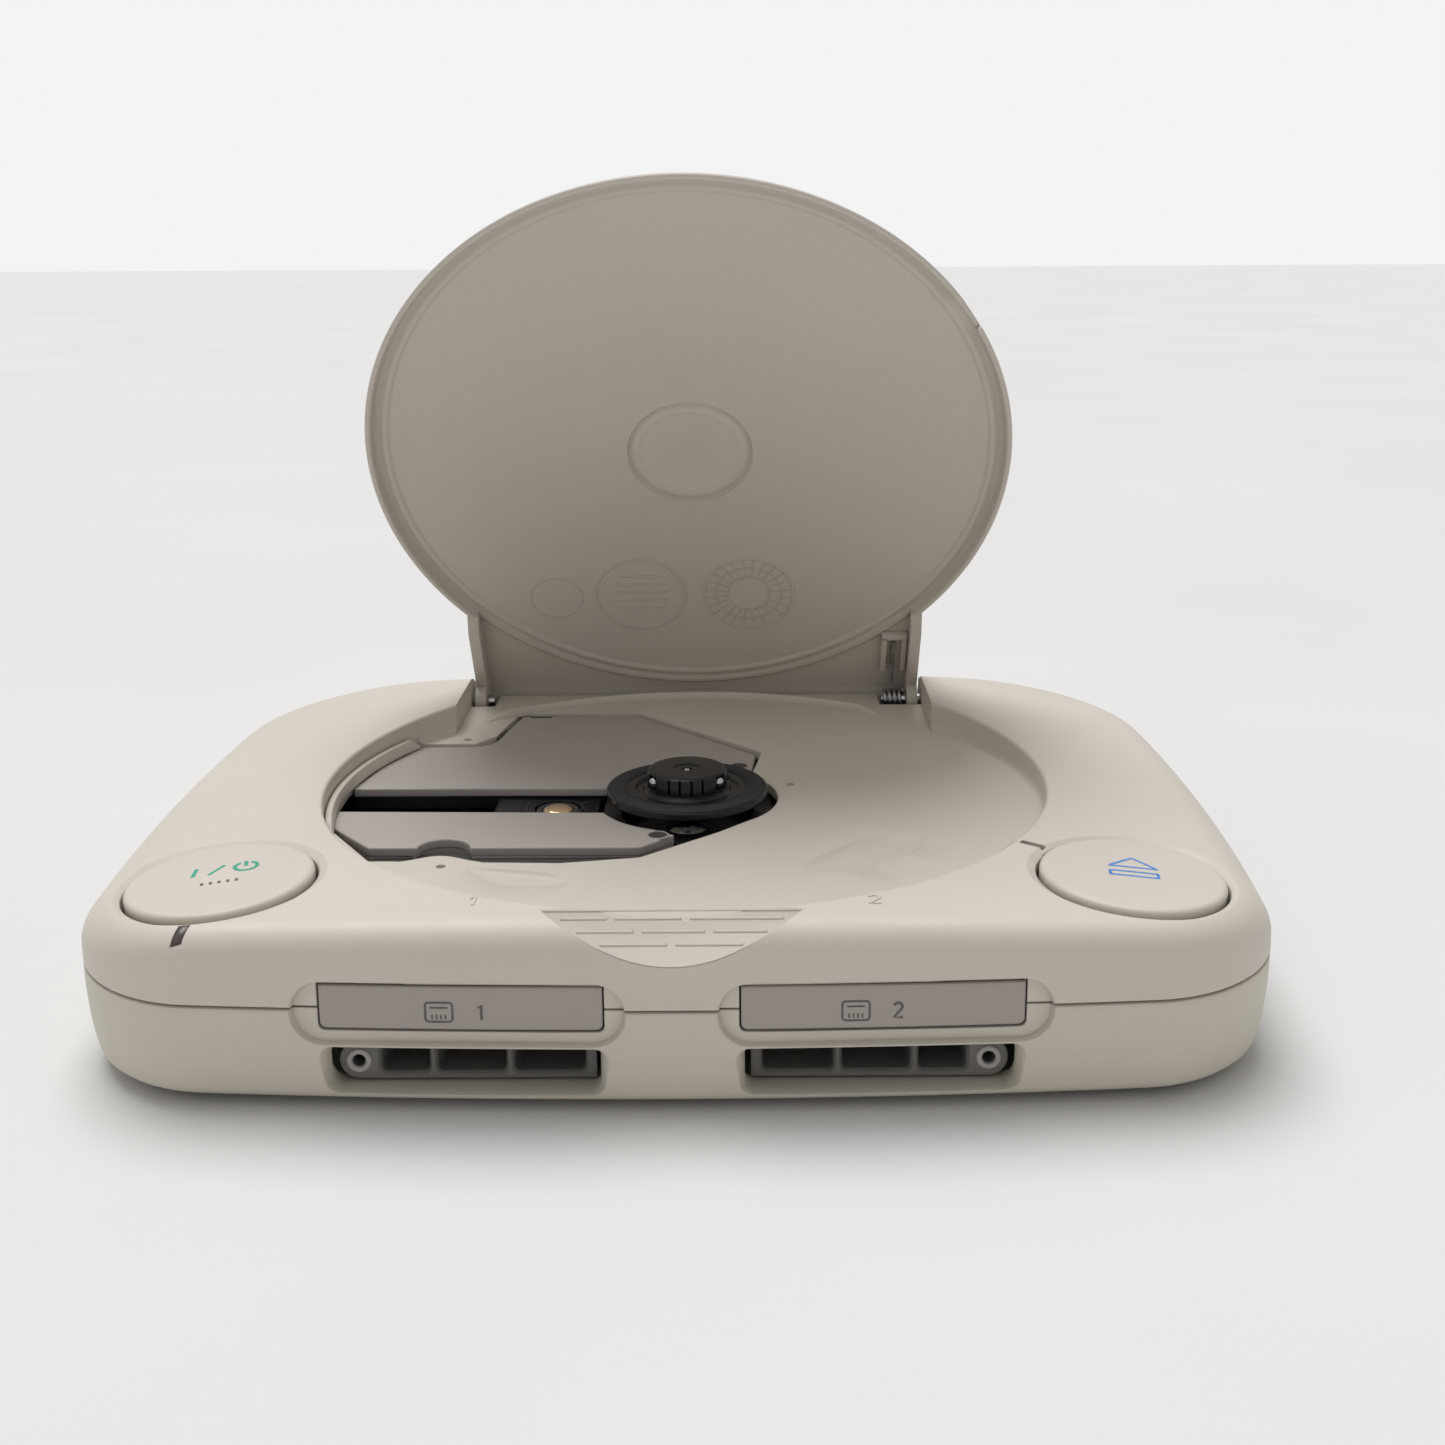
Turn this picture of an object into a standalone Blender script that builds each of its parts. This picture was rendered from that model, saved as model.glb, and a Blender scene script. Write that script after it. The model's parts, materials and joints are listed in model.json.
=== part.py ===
"""Slim disc game console, round lid open. Metres. +X right, +Y to the back, +Z up, table at z = 0."""

import math

import bmesh
import bpy
from mathutils import Matrix, Vector

MM = 0.001
GAP = 0.3
WALL = 2.2

# Case plan and section, mm
HALF_W, HALF_D = 96.5, 72.0
BULGE_SIDE, BULGE_FRONT = 4.7, 4.3
CORNER_FRONT, CORNER_BACK = 20.2, 32.0
Z_BOTTOM, Z_PART, Z_DECK = 1.2, 17.05, 30.8
SHOULDER_SIDE, SHOULDER_FRONT = 8.6, 4.2
UNDERCUT = 2.8
DECK_SLOPE, DECK_CROWN = 0.006, 0.00033

# Disc well and lid
R_WELL, R_LID, Z_FLOOR, FLOOR_T = 66.0, 64.9, 24.5, 1.8
NOTCH_HALF, NECK_HALF = 50.4, 49.6
RECESS_FRONT_Y, CHEEK_FRONT_Y = 43.6, 41.8
HINGE_Y, HINGE_Z, OPEN_DEG = 65.5, 24.5, 59.7
LID_IN = 4.8
LID_T, LID_CROWN, LID_IN_CROWN = 1.8, 3.2, 1.6
BARREL_OUT, BARREL_IN = LID_IN + LID_T, LID_IN
SKIRT_Z, CHEEK_Z = 27.0, 25.5
RING_R = 12.0

# Buttons, doors, ports
BTN_X, BTN_Y, BTN_Z, BTN_R = 71.8, -49.3, 29.15, 14.5
BTN_TILT_X, BTN_TILT_Y = 0.0525, 0.012
STEM_DEPTH, TOWER_TOP = 5.0, 22.25
DOOR_X0, DOOR_X1, DOOR_Z0, DOOR_Z1, DOOR_T = 10.1, 51.8, 13.8, 20.7, 1.2
DOOR_AXIS_Y, DOOR_AXIS_Z, DOOR_INSET = -69.3, 20.1, 1.15
PORT_X0, PORT_X1, PORT_Z0, PORT_Z1 = 10.6, 50.7, 3.6, 11.1
LATCH_DEG = -33.0
PIN_POCKET_RIGHT, PIN_POCKET_LEFT = 41.0, 45.0
SCREWS = ((-82.0, -30.0), (82.0, -30.0), (-70.0, 48.0), (70.0, 48.0), (0.0, -40.0))
FEET = ((-72.0, -48.0), (72.0, -48.0), (-66.0, 52.0), (66.0, 52.0))
SCREW_HOLE, SCREW_SHAFT, SCREW_HEAD = 1.7, 1.4, 2.8
BOSS_R, BOSS_TOP, POST_R = 4.4, 11.0, 3.8
AV_X0, AV_X1, AV_Z0, AV_Z1 = -14.0, 12.0, 5.2, 13.4
DC_X, DC_Z = -38.0, 9.0

# Drive
LENS_X, PLATTER_R, PLATTER_Z = -24.4, 15.0, 26.75
R_HUB_OPENING, HUB_TOP, BALL_START = 17.0, 3.6, 90.0
SLOT_Y0, SLOT_Y1 = -5.4, 7.0
COVER_Z0, COVER_Z1 = 22.35, 24.1
TRAY_X0, TRAY_X1 = -71.2, -15.6
SLED_X0, SLED_X1, SLED_TOP = -36.5, -16.2, 22.2
GEAR_M, IDLER_TEETH, PINION_TEETH = 0.6, 14, 6
ADDENDUM, DEDENDUM = 0.35, 0.6
IDLER_X, RACK_Y = -45.0, 13.4


def clear_scene():
    for obj in list(bpy.data.objects):
        bpy.data.objects.remove(obj, do_unlink=True)


def material(name, rgb, rough, metal=0.0):
    mat = bpy.data.materials.new(name)
    mat.use_nodes = True
    shader = mat.node_tree.nodes["Principled BSDF"]
    shader.inputs["Base Color"].default_value = (*rgb, 1.0)
    shader.inputs["Roughness"].default_value = rough
    shader.inputs["Metallic"].default_value = metal
    return mat


def add(name, verts, faces, slot=None, smooth=False):
    """A mesh object from points in mm."""
    mesh = bpy.data.meshes.new(name)
    mesh.from_pydata([Vector(v) * MM for v in verts], [], faces)
    shape = bmesh.new()
    shape.from_mesh(mesh)
    bmesh.ops.remove_doubles(shape, verts=shape.verts, dist=1e-7)
    bmesh.ops.recalc_face_normals(shape, faces=shape.faces)
    shape.to_mesh(mesh)
    shape.free()
    obj = bpy.data.objects.new(name, mesh)
    bpy.context.scene.collection.objects.link(obj)
    if slot:
        mesh.materials.append(SLOTS[slot])
    if smooth:
        mesh.shade_smooth()
        mesh.set_sharp_from_angle(angle=math.radians(35))
    return obj


def loft(rings, ends=True):
    """Points and faces through rings of equal length; the ends close with a face each."""
    n = len(rings[0])
    verts = [p for ring in rings for p in ring]
    faces = []
    last = len(rings) if not ends else len(rings) - 1
    for i in range(last):
        j = (i + 1) % len(rings)
        for k in range(n):
            m = (k + 1) % n
            faces.append((i * n + k, i * n + m, j * n + m, j * n + k))
    if ends:
        faces.append(tuple(range(n)))
        faces.append(tuple((len(rings) - 1) * n + k for k in range(n)))
    return verts, faces


def box(lo, hi):
    rings = [
        [(lo[0], lo[1], z), (hi[0], lo[1], z), (hi[0], hi[1], z), (lo[0], hi[1], z)]
        for z in (lo[2], hi[2])
    ]
    return loft(rings)


def prism(points, z0, z1):
    return loft([[(x, y, z) for x, y in points] for z in (z0, z1)])


def circle(cx, cy, r, n=24, start=0.0, turn=360.0):
    """Points round a circle, or along an arc of it with both ends."""
    steps = n if turn == 360.0 else n - 1
    return [
        (
            cx + r * math.cos(math.radians(start + turn * k / steps)),
            cy + r * math.sin(math.radians(start + turn * k / steps)),
        )
        for k in range(n)
    ]


def tube(points_2d, axis, lo, hi):
    """A prism along X or Y of points given in the other two axes, in X, Y, Z order."""
    if axis == "X":
        return loft([[(a, y, z) for y, z in points_2d] for a in (lo, hi)])
    return loft([[(x, a, z) for x, z in points_2d] for a in (lo, hi)])


def revolve(profile, n=24, cx=0.0, cy=0.0):
    """A closed turned body; the profile is (r, z) from the axis out and back to the axis."""
    rings = []
    for r, z in profile:
        rings.append(
            [
                (cx + r * math.cos(2 * math.pi * k / n), cy + r * math.sin(2 * math.pi * k / n), z)
                for k in range(n)
            ],
        )
    return loft(rings)


def ring_body(profile, n=24, cx=0.0, cy=0.0):
    """A turned ring; the profile is a closed (r, z) loop clear of the axis."""
    rings = []
    for k in range(n):
        a = 2 * math.pi * k / n
        rings.append([(cx + r * math.cos(a), cy + r * math.sin(a), z) for r, z in profile])
    return loft(rings, ends=False)


def racetrack(x0, x1, z0, z1, r, n=7):
    pts = []
    for cx, cz, a in (
        (x1 - r, z0 + r, -90), (x1 - r, z1 - r, 0), (x0 + r, z1 - r, 90), (x0 + r, z0 + r, 180),
    ):
        pts += circle(cx, cz, r, n, a, 90.0)
    return pts


def combine(obj, parts, operation="DIFFERENCE"):
    """Applies exact Booleans of (points, faces) shapes to an object, in turn."""
    helpers = []
    for k, (verts, faces) in enumerate(parts):
        helper = add(f"{obj.name}_tool_{k}", verts, faces)
        helper.hide_render = True
        helper.display_type = "WIRE"
        mod = obj.modifiers.new("shape", "BOOLEAN")
        mod.object = helper
        mod.operation = operation
        mod.solver = "EXACT"
        helpers.append(helper)
    bpy.context.view_layer.update()
    graph = bpy.context.evaluated_depsgraph_get()
    mesh = bpy.data.meshes.new_from_object(obj.evaluated_get(graph))
    obj.modifiers.clear()
    obj.data = mesh
    for helper in helpers:
        bpy.data.objects.remove(helper, do_unlink=True)
    return obj


def outline(n_corner=7, n_front=13, n_side=7):
    """The case plan as (point, outward normal) pairs, anticlockwise from the right back corner."""
    half_w, half_d = HALF_W - BULGE_SIDE, HALF_D - BULGE_FRONT
    flat = []
    corners = (
        (1, 1, CORNER_BACK, 0), (-1, 1, CORNER_BACK, 90), (-1, -1, CORNER_FRONT, 180),
        (1, -1, CORNER_FRONT, 270),
    )
    for i, (sx, sy, r, a) in enumerate(corners):
        flat += circle(sx * (half_w - r), sy * (half_d - r), r, n_corner, a, 90.0)
        nx, ny, nr, na = corners[(i + 1) % 4]
        ends = flat[-1], circle(nx * (half_w - nr), ny * (half_d - nr), nr, 2, na, 90.0)[0]
        count = n_front if i % 2 == 0 else n_side
        for k in range(1, count - 1):
            t = k / (count - 1)
            flat.append(tuple(ends[0][j] * (1 - t) + ends[1][j] * t for j in (0, 1)))
    pts = []
    for x, y in flat:
        u, v = x / half_w, y / half_d
        pts.append((
            x * (1 + BULGE_SIDE / half_w * (1 - v * v)), y * (1 + BULGE_FRONT / half_d * (1 - u * u)),
        ))
    out = []
    for k, p in enumerate(pts):
        a, b = pts[k - 1], pts[(k + 1) % len(pts)]
        dx, dy = b[0] - a[0], b[1] - a[1]
        size = math.hypot(dx, dy)
        out.append((p, (dy / size, -dx / size)))
    return out


def front_y(x):
    """The front face's y at x, above the undercut."""
    u = x / (HALF_W - BULGE_SIDE)
    return -(HALF_D - BULGE_FRONT) * (1 + BULGE_FRONT / (HALF_D - BULGE_FRONT) * (1 - u * u))


def deck(x, y):
    return Z_DECK + DECK_SLOPE * y - DECK_CROWN * x * x


def shoulder(normal):
    """The rounding between a side and the deck: wide at the sides and back, tighter along the front."""
    front = max(0.0, -normal[1])
    return SHOULDER_SIDE + (SHOULDER_FRONT - SHOULDER_SIDE) * front ** 1.5


def inset(plan, d, z):
    if not callable(z):
        return [(p[0] - d * n[0], p[1] - d * n[1], z) for p, n in plan]
    return [(p[0] - d * n[0], p[1] - d * n[1], z(p[0] - d * n[0], p[1] - d * n[1])) for p, n in plan]


def well_point(p, r):
    size = math.hypot(p[0], p[1])
    return p[0] / size * r, p[1] / size * r


def upper_rings(plan, shoulder_steps=5, deck_steps=3):
    """Outer skin from the parting line over the shoulder and deck, down the well, then back inside."""
    rings = [inset(plan, 0.0, Z_PART + GAP)]
    for k in range(shoulder_steps + 1):
        a = math.pi / 2 * k / shoulder_steps
        ring = []
        for p, n in plan:
            w = well_point(p, R_WELL)
            room = math.hypot(p[0] - w[0], p[1] - w[1])
            out = min(shoulder(n), max(room - 1.2, 0.5))
            d = out * (1 - math.cos(a))
            x, y = p[0] - d * n[0], p[1] - d * n[1]
            ring.append((x, y, deck(x, y) - shoulder(n) * (1 - math.sin(a))))
        rings.append(ring)
    edge = rings[-1]
    for k in range(1, deck_steps + 1):
        t = k / deck_steps
        ring = []
        for (x, y, _), (p, _n) in zip(edge, plan):
            w = well_point(p, R_WELL)
            u, v = x + (w[0] - x) * t, y + (w[1] - y) * t
            ring.append((u, v, deck(u, v)))
        rings.append(ring)
    return rings


def build_upper_shell(name="upper_shell"):
    plan = outline()
    rings = upper_rings(plan)
    rings.append([(*well_point(p, R_WELL), Z_FLOOR) for p, n in plan])
    rings.append([(*well_point(p, 30.0), Z_FLOOR) for p, n in plan])
    under = Z_FLOOR - FLOOR_T
    rings.append([(*well_point(p, 30.0), under) for p, n in plan])
    inner = R_WELL + WALL
    top = []
    for p, n in plan:
        w = well_point(p, inner)
        limit = math.hypot(p[0], p[1]) - WALL - 0.3
        r = min(inner, limit)
        top.append(well_point(p, r))
    rings.append([(x, y, under) for x, y in top])
    rings.append(
        [(x, y, under + 0.6 if y < -60.0 else max(deck(x, y) - WALL - 1.0, under + 0.6)) for x, y in top],
    )
    shoulder = []
    for (p, n), (tx, ty) in zip(plan, top):
        d = min(WALL + 4.0, 0.7 * math.hypot(p[0] - tx, p[1] - ty) + 0.35)
        d = max(d, WALL)
        shoulder.append((p[0] - d * n[0], p[1] - d * n[1]))
    rings.append(
        [
            (
                x, y,
                under + 0.3 if y < -60.0 and abs(x) < 40.0 else max(deck(x, y) - WALL - 2.2, under + 0.3),
            )
            for x, y in shoulder
        ],
    )
    rings.append(inset(plan, WALL, lambda x, y: deck(x, y) - WALL - 7.0))
    rings.append(inset(plan, WALL, Z_PART + GAP))
    obj = add(name, *loft(rings, ends=False), "case")
    # The floor's middle, the block round the hinge recess and the rib behind the disc
    block_top = Z_FLOOR + 4.0
    plus = [prism(circle(0, 0, 31.0, 32), Z_FLOOR - FLOOR_T, Z_FLOOR)]
    plus.append(box(
        (-NOTCH_HALF - 2.4, RECESS_FRONT_Y, Z_FLOOR - FLOOR_T + 0.05),
        (NOTCH_HALF + 2.4, 69.2, block_top),
    ))
    for x, y in SCREWS:
        top = Z_FLOOR - 0.8 if math.hypot(x, y) < R_WELL else deck(x, y) - 1.4
        plus.append(prism(circle(x, y, POST_R, 14), BOSS_TOP + GAP, top))
    combine(obj, plus, "UNION")
    return obj


def barrel_room():
    """The space the lid's rolled back edge turns in, behind and under the floor's lip, as (y, z) points."""
    inner = circle(HINGE_Y, HINGE_Z, BARREL_IN - 0.5, 9, 0.0, -100.0)
    return inner + circle(HINGE_Y, HINGE_Z, BARREL_OUT + 0.5, 9, -100.0, 100.0)


def button_matrix(side):
    tilt_x = side * BTN_TILT_X
    rot = Matrix.Rotation(BTN_TILT_Y, 4, "X") @ Matrix.Rotation(tilt_x, 4, "Y")
    return Matrix.Translation((side * BTN_X, BTN_Y, BTN_Z)) @ rot


def placed(shape, matrix):
    verts, faces = shape
    return [tuple(matrix @ Vector(v)) for v in verts], faces


def scoop_cutter(n=24):
    """A disc laid on the sloping thumb panel at the middle of the front edge."""
    slope = math.radians(46.0)
    top = Vector((0.0, -64.8, 30.3))
    down = Vector((0.0, -math.cos(slope), -math.sin(slope)))
    out = Vector((0.0, -math.sin(slope), math.cos(slope)))
    centre = top - down * 16.7
    side = Vector((1.0, 0.0, 0.0))
    rings = []
    for h in (0.0, 14.0):
        ring = []
        for k in range(n):
            a = 2 * math.pi * (k + 0.5) / n
            ring.append(tuple(centre + side * 26.0 * math.cos(a) + down * 26.0 * math.sin(a) + out * h))
        rings.append(ring)
    return loft(rings)


def face_prism(points_xz, depth, y_out=-80.0):
    """A cutter from outside the front face to a floor that lies depth inside it."""
    return loft([[(x, y_out, z) for x, z in points_xz], [(x, front_y(x) + depth, z) for x, z in points_xz]])


def mirrored(shape):
    verts, faces = shape
    return [(-x, y, z) for x, y, z in verts], faces


def drive_opening():
    """The opening in the well floor over the drive: plan points."""
    left = [(-64.6, -13.5), (-52.8, -31.2)]
    left += [(-48.0, -31.3), (-44.5, -29.6), (-41.0, -29.0), (-37.8, -29.8), (-34.5, -31.9)]
    left += [(-20.3, -32.4), (-7.0, -30.0), (6.4, -18.0)]
    hub = circle(0.0, 0.0, R_HUB_OPENING, 6, -50.0, 95.0)
    back = [
        (14.2, 27.0), (-12.3, 55.0), (-38.6, 55.0), (-41.4, 38.7), (-45.1, 33.5), (-56.9, 33.5),
        (-62.4, 20.0), (-64.9, 6.0),
    ]
    return left + hub + back


def cut_upper(obj):
    front = NOTCH_HALF
    cuts = [
        tube(
            [(30.0, 45.0), (30.0, Z_FLOOR)] + barrel_room() + [(90.0, Z_FLOOR), (90.0, 45.0)], "X",
            -front, front,
        ),
        prism(drive_opening(), 15.0, 30.0),
        scoop_cutter(),
    ]
    for side in (-1, 1):
        well = revolve([(0.0001, -40.0), (BTN_R + 0.5, -40.0), (BTN_R + 0.5, 5.0), (0.0001, 5.0)], 28)
        cuts.append(placed(well, button_matrix(side)))
    track = racetrack(7.0, 55.7, 11.9, 21.3, 4.6)
    hole = [
        (DOOR_X0 - GAP, 8.0), (DOOR_X1 + GAP, 8.0), (DOOR_X1 + GAP, DOOR_Z1 + GAP),
        (DOOR_X0 - GAP, DOOR_Z1 + GAP),
    ]
    for shape in (face_prism(track, 1.1), tube(hole, "Y", -80.0, -66.0)):
        cuts += [shape, mirrored(shape)]
    a = math.radians(LATCH_DEG)
    slot = box((R_WELL - 3.0, -2.6, 26.2), (R_WELL + 9.0, 2.6, 29.0))
    cuts.append(placed(slot, Matrix.Rotation(a, 4, "Z")))
    cuts.append(box((-73.3, -90.0, 26.8), (-71.1, -67.4, 33.0)))
    for x, y in SCREWS:
        cuts.append(prism(circle(x, y, SCREW_HOLE, 12), 0.0, 16.2))
    pocket = box((DOOR_X0 - 0.4, -70.1, 19.0), (DOOR_X1 + 0.4, -65.0, 21.9))
    cuts += [pocket, mirrored(pocket)]
    cuts.append(box((PIN_POCKET_RIGHT, 60.9, 18.0), (front - 0.05, 89.0, 30.0)))
    cuts.append(box((0.05 - front, 60.9, 18.0), (-PIN_POCKET_LEFT, 89.0, 30.0)))
    for x in (-NOTCH_HALF - 5.0, NOTCH_HALF - 4.0):
        cuts.append(tube(circle(HINGE_Y, HINGE_Z, 1.5, 12), "X", x, x + 9.0))
    return combine(obj, cuts)


def lower_rings(plan, d0=0.0, z_low=Z_BOTTOM, steps=5):
    rings = []
    for k in range(steps + 1):
        a = math.pi / 2 * k / steps
        rings.append(inset(
            plan, d0 + UNDERCUT * (1 - math.cos(a)) + 1.6 * max(0.0, math.sin(a) - 0.9) * 10,
            Z_PART - (Z_PART - z_low) * math.sin(a),
        ))
    return rings


def build_lower_shell(name="lower_shell"):
    plan = outline()
    outer = lower_rings(plan)
    low = 3.2
    inner = [
        inset(plan, UNDERCUT + WALL + 1.8, low), inset(plan, WALL + 0.7, low + 4.0),
        inset(plan, WALL, Z_PART),
    ]
    obj = add(name, *loft(list(reversed(outer)) + list(reversed(inner))), "case_low")
    return obj


def cut_lower(obj):
    bosses = [prism(circle(x, y, BOSS_R, 14), 2.0, BOSS_TOP) for x, y in SCREWS]
    combine(obj, bosses, "UNION")
    cuts = []
    for x, y in SCREWS:
        cuts.append(prism(circle(x, y, SCREW_HOLE, 12), 0.0, 20.0))
        cuts.append(prism(circle(x, y, SCREW_HEAD + 0.4, 12), 0.0, 6.0))
    for x, y in FEET:
        cuts.append(prism(circle(x, y, 6.4, 20), 0.0, 1.9))
    track = racetrack(7.0, 55.7, 11.9, 21.3, 4.6)
    hole = [
        (DOOR_X0 - GAP, DOOR_Z0 - GAP), (DOOR_X1 + GAP, DOOR_Z0 - GAP), (DOOR_X1 + GAP, 25.0),
        (DOOR_X0 - GAP, 25.0),
    ]
    port = racetrack(PORT_X0, PORT_X1, PORT_Z0, PORT_Z1, 1.6, 4)
    rim = racetrack(PORT_X0 - 1.2, PORT_X1 + 1.2, PORT_Z0 - 0.9, PORT_Z1 + 0.2, 2.2, 4)
    shapes = (
        face_prism(track, 1.1), tube(hole, "Y", -80.0, -66.0), tube(port, "Y", -80.0, -62.0),
        face_prism(rim, 0.7),
    )
    for shape in shapes:
        cuts += [shape, mirrored(shape)]
    cuts.append(box((AV_X0 - GAP, 60.0, AV_Z0 - GAP), (AV_X1 + GAP, 80.0, AV_Z1 + GAP)))
    cuts.append(tube(circle(DC_X, DC_Z, 4.2, 20), "Y", 60.0, 80.0))
    for k in range(9):
        x = -40.0 + 10.0 * k
        cuts.append(box((x - 1.2, 10.0, 0.0), (x + 1.2, 34.0, 4.0)))
    return combine(obj, cuts)


def build_lid(name="lid"):
    z_in = HINGE_Z + LID_IN
    top = z_in + LID_T
    profile = [
        (0.05, top + LID_CROWN),
        (22.0, top + LID_CROWN * (1 - (22.0 / R_LID) ** 2)),
        (44.0, top + LID_CROWN * (1 - (44.0 / R_LID) ** 2)),
        (R_LID - 4.0, top - 0.1),
        (R_LID - 2.1, top - 0.8),
        (R_LID - 1.0, top - 1.8),
        (R_LID - 0.3, top - 3.2),
        (R_LID, SKIRT_Z),
        (R_LID - 1.2, SKIRT_Z),
        (R_LID - 1.7, z_in - 0.8),
        (R_LID - 3.2, z_in),
        (44.0, z_in + LID_IN_CROWN * (1 - (44.0 / R_LID) ** 2)),
        (RING_R, z_in + LID_IN_CROWN),
        (RING_R, z_in + LID_IN_CROWN - 1.0),
        (RING_R - 1.6, z_in + LID_IN_CROWN - 1.0),
        (RING_R - 2.4, z_in + LID_IN_CROWN + 1.2),
        (0.05, z_in + LID_IN_CROWN + 1.2),
    ]
    obj = add(name, *revolve(profile, 56), "lid")
    y_far = 30.0
    arc_out = circle(HINGE_Y, HINGE_Z, BARREL_OUT, 9, 90.0, -118.0)
    arc_in = circle(HINGE_Y, HINGE_Z, BARREL_IN, 9, -28.0, 118.0)
    section = [(y_far, z_in)] + [(y_far, top)] + arc_out + arc_in
    plate = tube(section, "X", -NECK_HALF, NECK_HALF)
    cheek = [
        (CHEEK_FRONT_Y, z_in + 0.8), (CHEEK_FRONT_Y, SKIRT_Z + 0.2), (CHEEK_FRONT_Y + 4.0, CHEEK_Z),
        (HINGE_Y - 3.6, CHEEK_Z),
    ]
    cheek += circle(HINGE_Y, HINGE_Z, 3.9, 9, 200.0, 180.0)
    cheek += [(HINGE_Y + 3.3, z_in + 0.8)]
    ears = [tube(cheek, "X", x, x + 2.4) for x in (-NECK_HALF, NECK_HALF - 2.4)]
    combine(obj, [plate] + ears, "UNION")
    # Open the skirt behind the neck, the pin holes, the latch notch
    gap = box((-NECK_HALF + 2.4, CHEEK_FRONT_Y - 1.0, 20.0), (NECK_HALF - 2.4, 64.9, z_in - 0.02))
    cuts = [gap]
    for x in (-NECK_HALF - 3.0, NECK_HALF - 5.0):
        cuts.append(tube(circle(HINGE_Y, HINGE_Z, 1.5, 12), "X", x, x + 8.0))
    a = math.radians(LATCH_DEG)
    notch = box((R_LID - 4.0, -3.4, 20.0), (R_LID + 3.0, 3.4, 28.6))
    cuts.append(placed(notch, Matrix.Rotation(a, 4, "Z")))
    combine(obj, cuts)
    return opened(obj)


def opened(obj):
    """Turns a closed-lid object to the open rest pose, with its origin on the hinge."""
    hinge = Vector((0.0, HINGE_Y, HINGE_Z)) * MM
    obj.data.transform(Matrix.Translation(-hinge))
    obj.data.transform(Matrix.Rotation(math.radians(-OPEN_DEG), 4, "X"))
    obj.location = hinge
    return obj


def cylinder(x, y, r, z0, z1, n=16):
    return prism(circle(x, y, r, n), z0, z1)


def build_drive():
    plan = [(-73.0, -17.0), (16.0, -17.0), (16.0, 30.0), (-8.0, 36.0), (-60.0, 32.0), (-73.0, 24.0)]
    tray = add("drive_tray", *prism(plan, 12.6, 22.0), "black")
    cuts = [
        box((TRAY_X0, -12.0, 14.0), (TRAY_X1, 14.2, 24.0)),
        cylinder(0.0, 0.0, 12.6, 14.0, 24.0, 20),
        box((-58.0, 14.0, 14.0), (-32.0, 30.5, 24.0)),
    ]
    combine(tray, cuts)
    hub_gap = circle(0.0, 0.0, 16.4, 7, 112.0, 44.0)
    back = [(-64.2, SLOT_Y1), (-40.0, SLOT_Y1)] + list(reversed(hub_gap))
    back += [(12.0, 14.0), (13.0, 26.4), (-12.6, 54.4), (-38.0, 54.4), (-40.8, 38.2), (-44.7, 33.0)]
    back += [(-56.0, 33.0), (-61.6, 19.6)]
    cover = add("drive_cover_back", *prism(back, COVER_Z0, COVER_Z1), "cover")
    combine(cover, [cylinder(9.6, 19.4, 1.5, 20.0, 26.0, 12)])
    hub_gap = circle(0.0, 0.0, 16.4, 6, 204.0, 46.0)
    front = [(-64.2, SLOT_Y0), (-63.6, -13.2), (-54.4, -23.9), (-47.0, -23.9)]
    front += circle(-41.4, -24.4, 4.6, 7, 175.0, -170.0)
    front += [(-14.3, -24.1), (-7.4, -24.1), (-1.6, -18.4)] + list(reversed(hub_gap))
    cover = add("drive_cover_front", *prism(front, COVER_Z0, COVER_Z1), "cover")
    combine(cover, [cylinder(-4.6, -18.6, 1.4, 20.0, 26.0, 12)])


def build_turntable():
    z = PLATTER_Z
    profile = [
        (0.9, 20.4), (3.0, 20.4), (3.0, z - 1.6), (PLATTER_R, z - 1.6), (PLATTER_R, z), (7.4, z),
        (7.4, z + 3.0), (6.9, z + HUB_TOP),
    ]
    profile += [(0.9, z + HUB_TOP)]
    obj = add("turntable", *ring_body(profile, 32), "black", smooth=True)
    cuts = []
    for k in range(3):
        a = math.radians(BALL_START + 120.0 * k)
        cuts.append(placed(box((5.0, -1.45, z + 0.6), (9.0, 1.45, z + 3.2)), Matrix.Rotation(a, 4, "Z")))
    combine(obj, cuts)
    for k, letter in enumerate("abc"):
        a = math.radians(BALL_START + 120.0 * k)
        ball = [
            (1.05 * math.sin(math.pi * t / 6) + 0.001, 1.05 * -math.cos(math.pi * t / 6))
            for t in range(7)
        ]
        ball_obj = add(f"hub_ball_{letter}", *revolve(ball, 10), "steel", smooth=True)
        ball_obj.location = Vector((6.75 * math.cos(a), 6.75 * math.sin(a), z + 1.9)) * MM
    add("spindle_pin", *cylinder(0.0, 0.0, 0.6, 18.4, z + HUB_TOP - 0.2, 10), "steel", smooth=True)
    add(
        "spindle_motor",
        *revolve([(0.01, 14.4), (11.8, 14.4), (11.8, 18.0), (4.0, 18.0), (0.01, 18.0)], 24), "steel",
        smooth=True,
    )


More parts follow.
